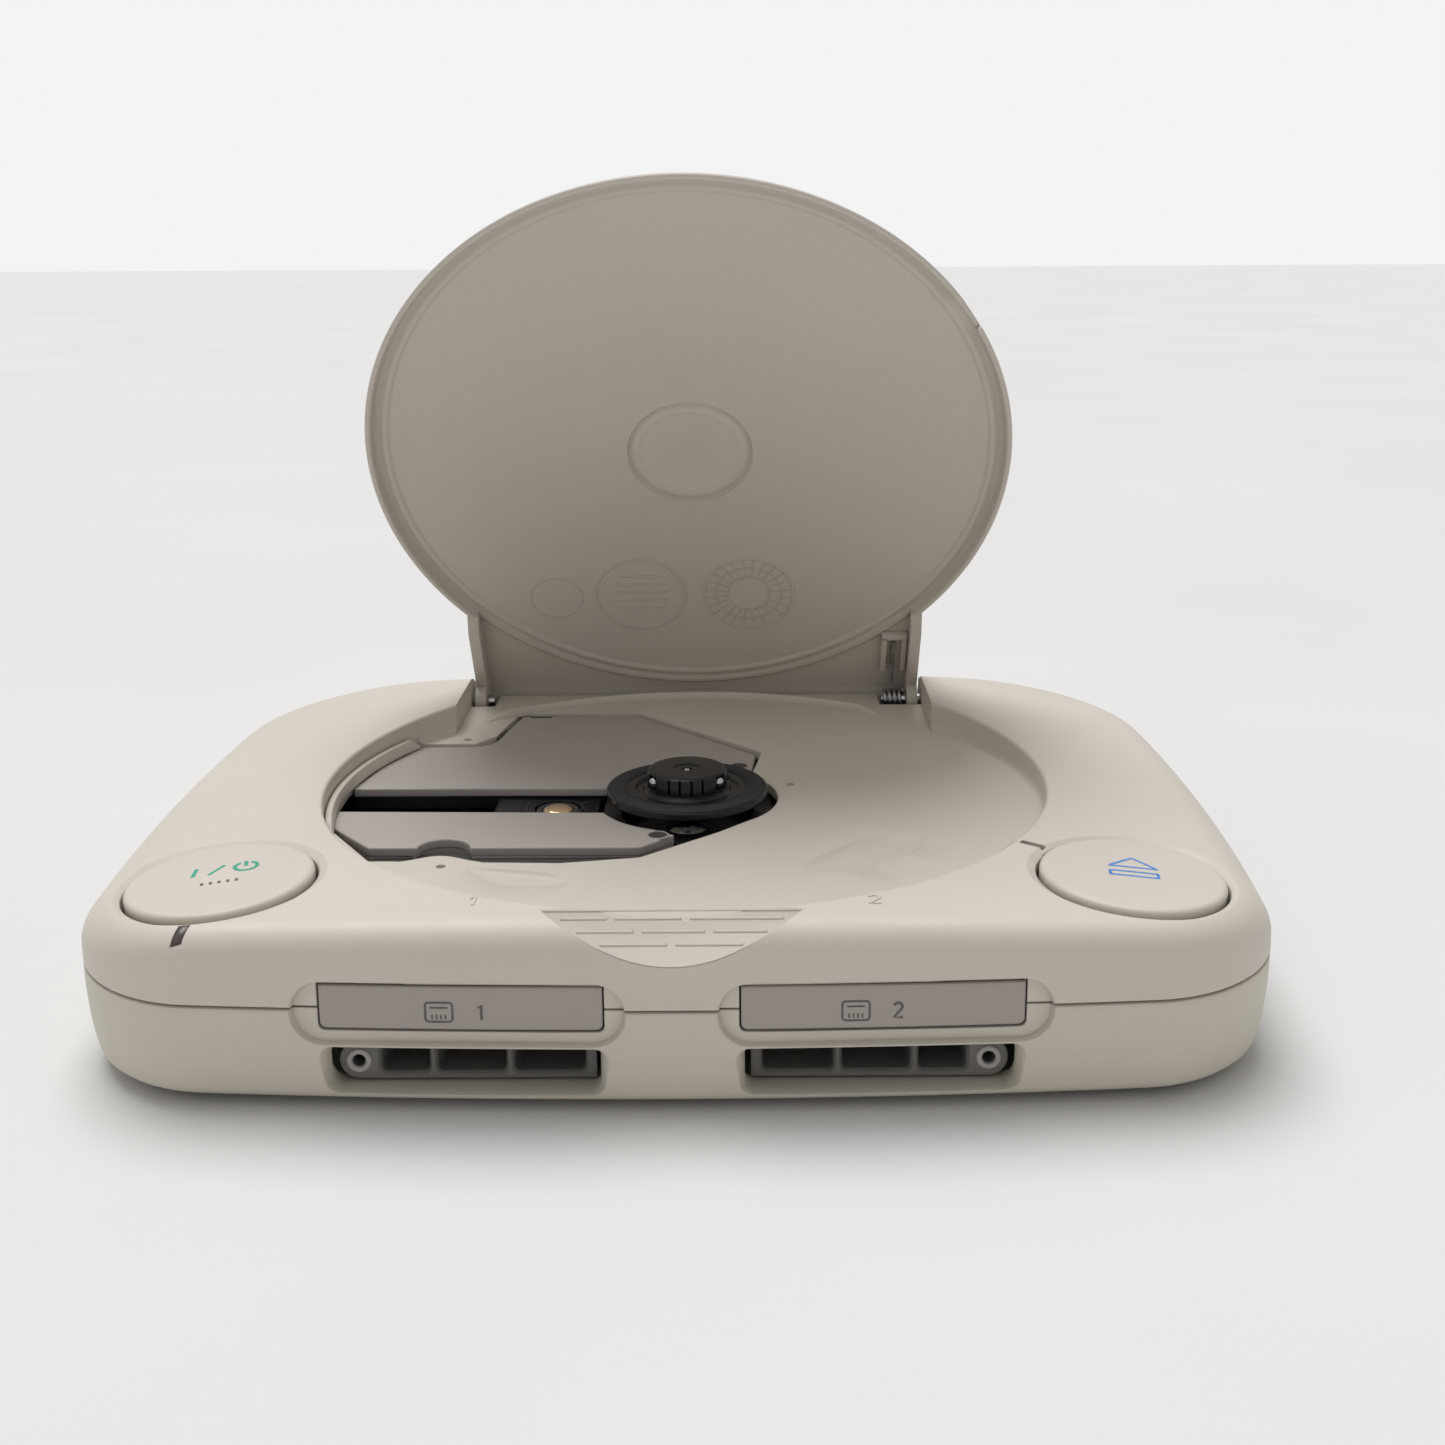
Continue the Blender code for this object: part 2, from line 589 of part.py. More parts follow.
def build_sled():
    obj = add("sled", *box((SLED_X0, -11.0, 15.2), (SLED_X1, RACK_Y - 1.4, 19.6)), "black")
    lift = box((SLED_X0 + 0.4, SLOT_Y0 + 0.7, 19.0), (SLED_X1 - 0.4, SLOT_Y1 - 0.7, SLED_TOP))
    rod = tube(circle(-8.4, 17.0, 1.35, 10), "X", -90.0, 10.0)
    groove = box((-90.0, 8.6, 14.0), (10.0, 11.4, 18.0))
    combine(obj, [lift], "UNION")
    combine(obj, [rod, groove, cylinder(LENS_X, 0.8, 4.4, 19.0, 26.0, 20)])
    pitch = math.pi * GEAR_M
    count = int((SLED_X1 - SLED_X0) / pitch)
    first = IDLER_X - pitch / 2 + pitch * math.ceil((SLED_X0 + 0.7 * pitch - IDLER_X) / pitch)
    rack = [(SLED_X0, RACK_Y - 2.0), (SLED_X0, RACK_Y - DEDENDUM)]
    for k in range(count - 1):
        x = first + pitch * k
        rack += [(x - 0.3 * pitch, RACK_Y - DEDENDUM), (x - 0.13 * pitch, RACK_Y + ADDENDUM)]
        rack += [(x + 0.13 * pitch, RACK_Y + ADDENDUM), (x + 0.3 * pitch, RACK_Y - DEDENDUM)]
    rack += [(SLED_X1, RACK_Y - DEDENDUM), (SLED_X1, RACK_Y - 2.0)]
    combine(obj, [prism(rack, 18.4, 19.6)], "UNION")
    lens = [(0.01, 19.8), (4.0, 19.8), (4.0, 22.0), (3.4, 22.2), (2.4, 22.6), (0.01, 22.9)]
    add("lens", *revolve(lens, 20, LENS_X, 0.8), "glass", smooth=True)
    for name, y, z in (("guide_rod_a", -8.4, 17.0), ("guide_rod_b", 10.0, 16.2)):
        add(name, *tube(circle(y, z, 1.05, 10), "X", TRAY_X0 + GAP, TRAY_X1 - GAP), "steel", smooth=True)


def gear_plan(teeth, phase):
    """Straight-sided teeth about the origin, with a tooth centred at the phase angle."""
    r = GEAR_M * teeth / 2
    pitch = 2 * math.pi / teeth
    pts = []
    for k in range(teeth):
        for share, radius in (
            (-0.3, r - DEDENDUM), (-0.13, r + ADDENDUM), (0.13, r + ADDENDUM), (0.3, r - DEDENDUM),
        ):
            a = math.radians(phase) + pitch * (k + share)
            pts.append((radius * math.cos(a), radius * math.sin(a)))
    return pts


def build_feed():
    """Feed motor, its pinion and the idler gear that drives the sled's rack."""
    idler_y = RACK_Y + GEAR_M * IDLER_TEETH / 2
    pinion_y = idler_y + GEAR_M * (IDLER_TEETH + PINION_TEETH) / 2
    add("sled_motor", *cylinder(IDLER_X, pinion_y, 5.2, 14.3, 17.6, 18), "steel", smooth=True)
    idler = add("idler_gear", *prism(gear_plan(IDLER_TEETH, -90.0), -0.8, 0.8), "white")
    combine(idler, [cylinder(0.0, 0.0, 0.9, -4.0, 4.0, 8)])
    idler.location = Vector((IDLER_X, idler_y, 19.4)) * MM
    pinion = add("motor_pinion", *prism(gear_plan(PINION_TEETH, -60.0), -0.8, 0.8), "brass")
    pinion.location = Vector((IDLER_X, pinion_y, 19.4)) * MM


def origin_to(obj, point):
    shift = Vector(point) * MM
    obj.data.transform(Matrix.Translation(-shift))
    obj.location = shift


def build_boards():
    board = [(-78.0, -54.0), (-57.0, -54.0), (-57.0, -16.0), (57.0, -16.0), (57.0, -54.0), (78.0, -54.0)]
    board += [(78.0, 42.0), (60.0, 56.0), (-60.0, 56.0), (-78.0, 42.0)]
    obj = add("main_board", *prism(board, 6.4, 8.0), "board")
    posts = [cylinder(x, y, BOSS_R + 0.5, 0.0, 30.0, 14) for x, y in SCREWS if y != -40.0]
    combine(obj, posts)
    low = [(-74.0, -14.0), (74.0, -14.0), (74.0, 40.0), (56.0, 54.0), (-56.0, 54.0), (-74.0, 40.0)]
    rim = [(x * 0.985, y * 0.985) for x, y in low]
    for name, z, wall, hollow in (
        ("shield_lower", 4.0, (4.0, 5.6), (4.7, 9.0)), ("shield_upper", 11.2, (9.8, 11.9), (6.0, 11.2)),
    ):
        obj = add(name, *prism(low, *wall), "tin")
        combine(obj, [prism(rim, *hollow)] + posts)
    add("port_board", *box((-53.0, -49.2, 3.8), (53.0, -48.0, 11.6)), "board")


def build_front(side, word):
    def s(shape):
        return mirrored(shape) if side < 0 else shape

    steps = 5
    xs = [DOOR_X0 + (DOOR_X1 - DOOR_X0) * k / steps for k in range(steps + 1)]
    rings = []
    for x in xs:
        y = front_y(x) + DOOR_INSET
        rings.append([(x, y, DOOR_Z0), (x, y + DOOR_T, DOOR_Z0), (x, y + DOOR_T, DOOR_Z1), (x, y, DOOR_Z1)])
    obj = add(f"card_door_{word}", *s(loft(rings)), "door")
    origin_to(obj, (0.0, DOOR_AXIS_Y, DOOR_AXIS_Z))
    obj = add(f"card_socket_{word}", *s(box((8.4, -64.8, 12.4), (53.6, -22.0, 22.1))), "dark")
    combine(obj, [s(box((9.8, -70.0, 13.6), (52.1, -24.0, 21.3)))])
    obj = add(
        f"port_{word}", *s(box((PORT_X0 + 0.9, -66.4, PORT_Z0 + 0.5), (49.4, -49.5, PORT_Z1 - 0.6))),
        "dark",
    )
    cuts = []
    for x0, x1 in ((13.2, 23.9), (25.1, 35.4), (36.6, 43.8)):
        cuts.append(s(box((x0, -70.0, 5.0), (x1, -57.0, 9.8))))
    cuts.append(s(tube(circle(46.6, 7.8, 0.9, 10), "Y", -70.0, -62.0)))
    cuts.append(s(box((12.4, -57.1, 6.9), (44.6, -55.0, 7.9))))
    combine(obj, cuts)
    obj = add(f"port_contacts_{word}", *s(box((12.8, -56.6, 7.2), (44.2, -55.4, 7.6))), "brass")
    pins = []
    for x in (15.0, 18.5, 22.0, 27.0, 30.3, 33.6, 38.0, 40.2, 42.4):
        pins.append(s(box((x - 0.4, -60.0, 7.2), (x + 0.4, -56.0, 7.6))))
    combine(obj, pins, "UNION")


def build_buttons():
    for side, name in ((-1, "power_button"), (1, "open_button")):
        profile = [
            (0.01, -STEM_DEPTH), (2.2, -STEM_DEPTH), (2.2, -1.4), (BTN_R - 1.5, -1.4),
            (BTN_R - 1.5, -4.2), (BTN_R, -4.2), (BTN_R, -0.7), (BTN_R - 0.7, 0.0), (0.01, 0.0),
        ]
        obj = add(name, *revolve(profile, 32), "case", smooth=True)
        matrix = button_matrix(side)
        obj.data.transform(Matrix.Scale(1 / MM, 4))
        obj.data.transform(matrix.to_3x3().to_4x4())
        obj.data.transform(Matrix.Scale(MM, 4))
        obj.location = matrix.translation * MM
    for side, name in ((-1, "power_switch"), (1, "release_lever")):
        x, y = side * BTN_X, BTN_Y
        obj = add(name, *box((x - 5.0, y - 1.8, 8.3), (x + 5.0, y + 9.0, 16.0)), "dark")
        combine(obj, [cylinder(x, y + 1.9, 3.6, 15.0, TOWER_TOP, 14)], "UNION")
    for side, name in ((-1, "power_spring"), (1, "open_spring")):
        profile = [(3.0, TOWER_TOP + GAP), (4.6, TOWER_TOP + GAP), (4.6, BTN_Z - 3.5), (3.0, BTN_Z - 3.5)]
        add(name, *ring_body(profile, 16, side * BTN_X, BTN_Y), "steel", smooth=True)


def build_latch():
    hook = box((R_WELL - 2.0, -2.2, 26.6), (R_WELL + 4.4, 2.2, 28.4))
    add("latch", *placed(hook, Matrix.Rotation(math.radians(LATCH_DEG), 4, "Z")), "black")


def build_small():
    bar = [(-67.7, 27.1), (-67.7, 28.3), (-68.3, 28.1), (-68.9, 27.1)]
    add("light_pipe", *tube(bar, "X", -73.0, -71.4), "lens_green")
    for k, (x, y) in enumerate(FEET):
        add(
            f"foot_{k + 1}",
            *revolve([(0.01, 0.0), (5.2, 0.0), (6.0, 0.6), (6.0, 1.6), (0.01, 1.6)], 20, x, y), "rubber",
            smooth=True,
        )
    for k, (x, y) in enumerate(SCREWS):
        profile = [
            (0.01, 3.6), (1.2, 4.2), (2.0, 3.4), (SCREW_HEAD, 3.6), (SCREW_HEAD, 5.7),
            (SCREW_SHAFT, 5.7), (SCREW_SHAFT, 14.5), (0.01, 15.4),
        ]
        add(f"case_screw_{k + 1}", *revolve(profile, 14, x, y), "steel", smooth=True)
    for word, x0, x1 in (("left", -52.6, -45.6), ("right", 41.6, 52.6)):
        add(
            f"hinge_pin_{word}", *tube(circle(HINGE_Y, HINGE_Z, 1.2, 12), "X", x0, x1), "steel",
            smooth=True,
        )
    coil = []
    for k in range(41):
        a = math.radians(90.0 + 36.0 * k)
        x = 42.2 + 4.4 * k / 40
        ring = []
        for j in range(5):
            b = 2 * math.pi * j / 5
            r = 2.1 + 0.42 * math.cos(b)
            ring.append((x + 0.42 * math.sin(b), HINGE_Y + r * math.cos(a), HINGE_Z + r * math.sin(a)))
        coil.append(ring)
    add("lid_spring", *loft(coil), "steel", smooth=True)
    z_in = HINGE_Z + LID_IN
    clip = [
        (41.3, 59.8), (41.3, 49.0), (47.0, 49.0), (47.0, 59.8), (45.9, 59.8), (45.9, 50.4), (42.4, 50.4),
        (42.4, 59.8),
    ]
    opened(add("lid_spring_clip", *prism(clip, z_in - 1.7, z_in - GAP), "lid"))
    obj = add("av_socket", *box((AV_X0, 58.0, AV_Z0), (AV_X1, 70.2, AV_Z1)), "black")
    combine(obj, [box((AV_X0 + 1.2, 60.0, AV_Z0 + 1.2), (AV_X1 - 1.2, 80.0, AV_Z1 - 1.2))])
    obj = add("power_inlet", *tube(circle(DC_X, DC_Z, 3.9, 20), "Y", 58.0, 70.0), "black", smooth=True)
    combine(obj, [tube(circle(DC_X, DC_Z, 2.9, 16), "Y", 60.0, 80.0)])
    add("inlet_pin", *tube(circle(DC_X, DC_Z, 0.8, 10), "Y", 60.3, 68.5), "steel", smooth=True)


clear_scene()
SLOTS = {
    "case": material("case", (0.62, 0.57, 0.50), 0.45),
    "case_low": material("case_low", (0.60, 0.55, 0.485), 0.45),
    "lid": material("lid", (0.50, 0.46, 0.41), 0.45),
    "cover": material("cover", (0.42, 0.39, 0.36), 0.5),
    "door": material("door", (0.36, 0.33, 0.31), 0.45),
    "dark": material("dark", (0.12, 0.115, 0.11), 0.5),
    "black": material("black", (0.02, 0.02, 0.022), 0.4),
    "white": material("white", (0.8, 0.8, 0.78), 0.4),
    "rubber": material("rubber", (0.08, 0.08, 0.08), 0.8),
    "steel": material("steel", (0.7, 0.7, 0.7), 0.25, 1.0),
    "tin": material("tin", (0.66, 0.66, 0.64), 0.4, 1.0),
    "brass": material("brass", (0.78, 0.6, 0.3), 0.3, 1.0),
    "glass": material("glass", (0.35, 0.3, 0.45), 0.05),
    "board": material("board", (0.05, 0.22, 0.1), 0.5),
    "lens_green": material("lens_green", (0.03, 0.06, 0.04), 0.2),
}
cut_upper(build_upper_shell())
cut_lower(build_lower_shell())
build_lid()
build_drive()
build_turntable()
build_sled()
build_feed()
build_boards()
build_front(-1, "left")
build_front(1, "right")
build_buttons()
build_latch()
build_small()
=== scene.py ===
"""Looks of the slim disc console, lid open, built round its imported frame.

Lengths are in mm; MM turns them into metres.
"""

import json
import math

import bmesh
import bpy
from mathutils import Matrix, Vector


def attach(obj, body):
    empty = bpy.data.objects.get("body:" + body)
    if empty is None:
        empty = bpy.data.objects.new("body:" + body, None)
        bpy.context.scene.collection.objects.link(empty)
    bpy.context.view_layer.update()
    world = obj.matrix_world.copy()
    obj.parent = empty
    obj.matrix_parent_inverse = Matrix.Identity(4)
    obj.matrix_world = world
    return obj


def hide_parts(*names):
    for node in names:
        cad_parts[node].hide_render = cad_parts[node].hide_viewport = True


MM = 0.001

# Case, as in the frame
HALF_W, HALF_D = 96.5, 72.0
BULGE_SIDE, BULGE_FRONT = 4.7, 4.3
CORNER_FRONT, CORNER_BACK = 20.2, 32.0
Z_BOTTOM, Z_PART, Z_DECK = 1.2, 17.05, 30.8
SHOULDER_SIDE, SHOULDER_FRONT = 8.6, 4.2
UNDERCUT, LIP = 2.8, 0.35
DECK_SLOPE, DECK_CROWN = 0.006, 0.00033
SEAM = 0.3
WALL = 2.2

# Disc well and lid
R_WELL, R_LID, Z_FLOOR, FLOOR_T = 66.0, 64.9, 24.5, 1.8
RIM_ROUND, FLOOR_ROUND = 0.7, 1.6
NOTCH_HALF, NECK_HALF = 50.4, 49.6
HINGE_Y, HINGE_Z, OPEN_DEG = 65.5, 24.5, 59.7
LID_IN, LID_T, LID_CROWN, LID_IN_CROWN = 4.8, 1.8, 3.2, 1.6
BARREL_OUT, BARREL_IN = 6.6, 4.8
SKIRT_Z, CHEEK_Z, EAR_T = 27.0, 25.5, 2.4
Z_IN = HINGE_Z + LID_IN
LATCH_TURN = Matrix.Rotation(math.radians(-33.0), 4, "Z")
EDGE_R, EDGE_Z, EDGE_ROUND = 60.8, 26.95, 3.8
RECESS_FRONT_Y, CHEEK_FRONT_Y = 43.6, 41.8

# Buttons, doors, ports
BTN_X, BTN_Y, BTN_Z, BTN_R = 71.8, -49.3, 29.15, 14.5
BTN_TILT_X, BTN_TILT_Y, BTN_CROWN = 0.0525, 0.012, 0.2
TRACK_X0, TRACK_X1, TRACK_Z0, TRACK_Z1, TRACK_R = 7.0, 55.7, 11.9, 21.3, 4.6
DOOR_X0, DOOR_X1, DOOR_Z0, DOOR_Z1, DOOR_T = 10.1, 51.8, 13.8, 20.7, 1.2
DOOR_INSET, DOOR_GAP = 1.15, 0.25
PORT_X0, PORT_X1, PORT_Z0, PORT_Z1 = 10.6, 50.7, 3.6, 11.1
PORT_CELLS = ((13.2, 23.9), (25.1, 35.4), (36.6, 43.8))
LUG_X, LUG_Z = 47.1, 7.0

# Lamp window, finger scoops, feet and screws, as plan points
LAMP_BACK, LAMP_FRONT, LAMP_HALF = (-71.7, -66.3), (-72.4, -68.6), 0.72
SCOOP_RIGHT = ((19.9, -34.9), (29.9, -35.1), (40.4, -27.1), (41.1, -19.5), (30.8, -22.3))
SCOOP_LEFT = ((-35.6, -34.5), (-27.0, -35.2), (-19.3, -38.0), (-19.3, -41.6), (-29.0, -41.5))
FEET = ((-72.0, -48.0), (72.0, -48.0), (-66.0, 52.0), (66.0, 52.0))
SCREWS = ((-82.0, -30.0), (82.0, -30.0), (-70.0, 48.0), (70.0, 48.0), (0.0, -40.0))

# Thumb panel: a flat that leans down and forward from its top line
PANEL_SLOPE = math.radians(46.0)
PANEL_TOP = Vector((0.0, -64.8, 30.3))
PANEL_DOWN = Vector((0.0, -math.cos(PANEL_SLOPE), -math.sin(PANEL_SLOPE)))
PANEL_OUT = Vector((0.0, -math.sin(PANEL_SLOPE), math.cos(PANEL_SLOPE)))

# Rear sockets
INLET_X, INLET_Z = -38.0, 9.0

# Drive
PLATTER_Z, PLATTER_R = 26.75, 15.0
R_HUB_OPENING, HUB_TOP = 17.0, 3.6
BALL_START, BALL_ORBIT, BALL_R = 90.0, 6.75, 1.05
LENS_X, LENS_Y, LENS_R = -24.4, 0.8, 2.85
SLOT_Y0, SLOT_Y1 = -5.4, 7.0
COVER_Z0, COVER_Z1, COVER_HUB_R = 22.35, 24.1, 16.4
COVER_DIP = (-41.4, -24.4)
COVER_EARS = ((9.6, 19.4), (-4.6, -18.6))
SLED_X0, SLED_X1, SLED_TOP = -36.5, -16.2, 22.2


# ---------------------------------------------------------------- materials


def shader_nodes(name, rough, metal=0.0, coat=0.0, spec=0.5):
    mat = bpy.data.materials.new(name)
    mat.use_nodes = True
    tree = mat.node_tree
    bsdf = tree.nodes["Principled BSDF"]
    bsdf.inputs["Roughness"].default_value = rough
    bsdf.inputs["Metallic"].default_value = metal
    bsdf.inputs["Coat Weight"].default_value = coat
    bsdf.inputs["Specular IOR Level"].default_value = spec
    return mat, tree, bsdf


def node(tree, kind, **values):
    made = tree.nodes.new(kind)
    for key, value in values.items():
        if key in made.inputs:
            made.inputs[key].default_value = value
        else:
            setattr(made, key, value)
    return made


def noise(tree, scale, detail=2.0, rough=0.5):
    coords = tree.nodes.get("coords")
    if not coords:
        coords = tree.nodes.new("ShaderNodeTexCoord")
        coords.name = "coords"
    made = node(tree, "ShaderNodeTexNoise", Scale=scale, Detail=detail, Roughness=rough)
    tree.links.new(coords.outputs["Object"], made.inputs["Vector"])
    return made


def ramp(tree, source, stops):
    made = tree.nodes.new("ShaderNodeValToRGB")
    made.color_ramp.elements[0].position = stops[0][0]
    made.color_ramp.elements[1].position = stops[-1][0]
    made.color_ramp.elements[0].color = (*stops[0][1], 1.0)
    made.color_ramp.elements[1].color = (*stops[-1][1], 1.0)
    for place, colour in stops[1:-1]:
        made.color_ramp.elements.new(place).color = (*colour, 1.0)
    tree.links.new(source, made.inputs["Fac"])
    return made


def mixed(tree, factor, a, b, blend="MIX"):
    """A colour mix; a and b are sockets or colours, factor a socket or a number."""
    made = tree.nodes.new("ShaderNodeMix")
    made.data_type = "RGBA"
    made.blend_type = blend
    for value, key in ((factor, 0), (a, 6), (b, 7)):
        if hasattr(value, "is_output"):
            tree.links.new(value, made.inputs[key])
        elif key == 0:
            made.inputs[0].default_value = value
        else:
            made.inputs[key].default_value = (*value, 1.0)
    return made.outputs[2]


def mapped(tree, source, lo, hi, from_lo=0.0, from_hi=1.0):
    made = tree.nodes.new("ShaderNodeMapRange")
    made.inputs["From Min"].default_value = from_lo
    made.inputs["From Max"].default_value = from_hi
    made.inputs["To Min"].default_value = lo
    made.inputs["To Max"].default_value = hi
    tree.links.new(source, made.inputs["Value"])
    return made.outputs["Result"]


def scaled(rgb, k):
    return tuple(min(1.0, c * k) for c in rgb)


def bumped(tree, bsdf, height, strength, depth, edge=0.0):
    """Relief from a texture, over edges that are shaded as if rounded to that radius in metres."""
    bumps = node(tree, "ShaderNodeBump", Strength=strength, Distance=depth)
    tree.links.new(height.outputs["Fac"], bumps.inputs["Height"])
    if edge:
        rounded = node(tree, "ShaderNodeBevel", samples=4, Radius=edge)
        tree.links.new(rounded.outputs["Normal"], bumps.inputs["Normal"])
    tree.links.new(bumps.outputs["Normal"], bsdf.inputs["Normal"])


def plastic(name, rgb, rough=0.5, grain=5200.0, bump=0.12, mottle=0.015, edge=0.22, crease_shade=0.35, spec=0.4):
    """Moulded plastic: fine grain, cloudy tone, painted highlight on sharp edges and painted shade in
    corners and creases.
    """
    mat, tree, bsdf = shader_nodes(name, rough, spec=spec)
    cloud = noise(tree, 22.0, 3.0)
    tone = ramp(
        tree, cloud.outputs["Fac"], ((0.3, scaled(rgb, 1 - mottle)), (0.7, scaled(rgb, 1 + mottle))),
    )
    speck = noise(tree, grain * 0.6, 1.0)
    fleck = ramp(
        tree, speck.outputs["Fac"],
        ((0.36, (0.93, 0.93, 0.93)), (0.5, (1.0, 1.0, 1.0)), (0.66, (1.05, 1.05, 1.05))),
    )
    colour = mixed(tree, 0.25, tone.outputs["Color"], fleck.outputs["Color"], "MULTIPLY")
    # Painted shade: where ambient occlusion finds corners and creases, the colour is darkened towards
    # 0.45 of the base, by up to the given amount.
    crease = node(tree, "ShaderNodeAmbientOcclusion", samples=6, Distance=0.0025)
    shut = mapped(tree, crease.outputs["AO"], crease_shade, 0.0, 0.25, 0.85)
    colour = mixed(tree, shut, colour, scaled(rgb, 0.45))
    # Painted highlight: the colour is lightened towards 1.22 of the base on sharp convex edges found by
    # pointiness.
    point = tree.nodes.new("ShaderNodeNewGeometry")
    edge_highlight = mapped(tree, point.outputs["Pointiness"], 0.0, edge, 0.52, 0.62)
    colour = mixed(tree, edge_highlight, colour, scaled(rgb, 1.22))
    tree.links.new(colour, bsdf.inputs["Base Color"])
    bumped(tree, bsdf, noise(tree, grain, 3.0, 0.6), bump, 0.00005, 0.0004)
    smear = noise(tree, 60.0, 4.0, 0.65)
    tree.links.new(
        mapped(tree, smear.outputs["Fac"], rough - 0.07, rough + 0.09, 0.3, 0.7),
        bsdf.inputs["Roughness"],
    )
    return mat


def metal(name, rgb, rough=0.25, grain=700.0, streak=(1.0, 1.0, 1.0), bump=0.08):
    """Machined or plated metal: fine scratches, stretched along an axis only when streak asks for it, and
    slightly uneven polish.
    """
    mat, tree, bsdf = shader_nodes(name, rough, 1.0)
    coords = node(tree, "ShaderNodeTexCoord")
    stretch = node(tree, "ShaderNodeMapping", Scale=streak)
    tree.links.new(coords.outputs["Object"], stretch.inputs["Vector"])
    lines = node(tree, "ShaderNodeTexNoise", Scale=grain, Detail=4.0)
    tree.links.new(stretch.outputs["Vector"], lines.inputs["Vector"])
    tone = ramp(tree, lines.outputs["Fac"], ((0.3, scaled(rgb, 0.86)), (0.7, scaled(rgb, 1.06))))
    tree.links.new(tone.outputs["Color"], bsdf.inputs["Base Color"])
    tree.links.new(
        mapped(tree, lines.outputs["Fac"], rough * 0.7, rough * 1.5, 0.3, 0.7),
        bsdf.inputs["Roughness"],
    )
    bumped(tree, bsdf, lines, bump, 0.00003, 0.0002)
    return mat


def printed(name, rgb):
    """Pad-printed ink: slightly patchy, thinner at the grain's peaks."""
    mat, tree, bsdf = shader_nodes(name, 0.55, spec=0.3)
    patch = noise(tree, 1900.0, 2.0)
    tone = ramp(tree, patch.outputs["Fac"], ((0.3, scaled(rgb, 1.25)), (0.65, scaled(rgb, 0.92))))
    tree.links.new(tone.outputs["Color"], bsdf.inputs["Base Color"])
    return mat


def lens_glass(name):
    """A coated pickup lens: clear, with a golden coating tint and a painted glint that is brightest where
    the dome faces the viewer.
    """
    mat, tree, bsdf = shader_nodes(name, 0.04, coat=0.6)
    facing = node(tree, "ShaderNodeLayerWeight", Blend=0.35)
    # Painted glint: the base colour runs from bright gold where the dome faces the viewer to dark at
    # grazing angles.
    facing_glint = ramp(
        tree, facing.outputs["Facing"],
        ((0.0, (0.95, 0.68, 0.34)), (0.4, (0.62, 0.42, 0.24)), (1.0, (0.22, 0.2, 0.28))),
    )
    tree.links.new(facing_glint.outputs["Color"], bsdf.inputs["Base Color"])
    bsdf.inputs["Metallic"].default_value = 0.55
    return mat


def circuit_board(name):
    mat, tree, bsdf = shader_nodes(name, 0.35, spec=0.6)
    tracks = noise(tree, 240.0, 1.0)
    tone = ramp(
        tree, tracks.outputs["Fac"],
        ((0.46, (0.015, 0.09, 0.04)), (0.5, (0.03, 0.16, 0.07)), (0.54, (0.015, 0.09, 0.04))),
    )
    tree.links.new(tone.outputs["Color"], bsdf.inputs["Base Color"])
    bumped(tree, bsdf, tracks, 0.3, 0.00005)
    return mat


def make_materials():
    return {
        "case": plastic("case_plastic", (0.66, 0.61, 0.545), 0.48),
        "case_low": plastic("case_low_plastic", (0.64, 0.595, 0.515), 0.48),
        "button": plastic("button_plastic", (0.655, 0.6, 0.535), 0.45, bump=0.1),
        # Painted shade: the lid is the same plastic as the case; this darker colour stands in for the
        # shade on its inner face.
        "lid": plastic("lid_shaded_plastic", (0.585, 0.54, 0.485), 0.5, grain=4200.0, bump=0.2),
        "cover": plastic("cover_plastic", (0.46, 0.42, 0.395), 0.4, bump=0.1, crease_shade=0.25),
        "door": plastic("door_plastic", (0.4, 0.36, 0.335), 0.42, bump=0.1),
        # Painted shade: the port housings are mid-grey plastic like the lugs; this much darker colour and
        # the stronger crease darkening stand in for the shade in their deep recess.
        "port": plastic("port_shaded_plastic", (0.19, 0.18, 0.17), 0.5, crease_shade=0.5),
        "lug": plastic("lug_plastic", (0.46, 0.44, 0.41), 0.5, crease_shade=0.3),
        "dark": plastic("dark_plastic", (0.06, 0.058, 0.055), 0.5),
        "black": plastic("black_plastic", (0.012, 0.012, 0.014), 0.34, bump=0.12, edge=0.15, crease_shade=0.0),
        "gloss": plastic("hub_plastic", (0.012, 0.012, 0.014), 0.2, bump=0.05, edge=0.1, crease_shade=0.0),
        "rubber": plastic("foot_rubber", (0.035, 0.034, 0.033), 0.8, grain=3000.0, bump=0.3),
        "white": plastic("gear_nylon", (0.72, 0.71, 0.67), 0.4),
        "steel": metal("polished_steel", (0.72, 0.72, 0.73), 0.16),
        "spring": metal("spring_steel", (0.5, 0.5, 0.5), 0.3),
        "tin": metal("tin_plate", (0.6, 0.6, 0.58), 0.4, 120.0),
        "brass": metal("contact_brass", (0.75, 0.56, 0.27), 0.25),
        "copper": metal("coil_copper", (0.72, 0.36, 0.16), 0.35, 3000.0),
        "glass": lens_glass("pickup_lens"),
        "board": circuit_board("circuit_board"),
        "lamp": plastic(
            "lamp_window", (0.075, 0.055, 0.05), 0.25, bump=0.02, edge=0.1, crease_shade=0.0, spec=0.6,
        ),
        "green_ink": printed("green_ink", (0.055, 0.36, 0.25)),
        "blue_ink": printed("blue_ink", (0.08, 0.25, 0.62)),
        "grey_ink": printed("grey_ink", (0.16, 0.145, 0.135)),
        "mark_ink": printed("mark_ink", (0.14, 0.125, 0.12)),
    }


# ---------------------------------------------------------------- mesh helpers


def piece(name, shape, look, body, smooth=40.0, replaces=(), bevel=0.0):
    """A mesh piece in mm coordinates that rides on a body."""
    obj = rough_mesh(name, shape)
    finish_piece(obj, look, body, smooth, replaces, bevel)
    return obj


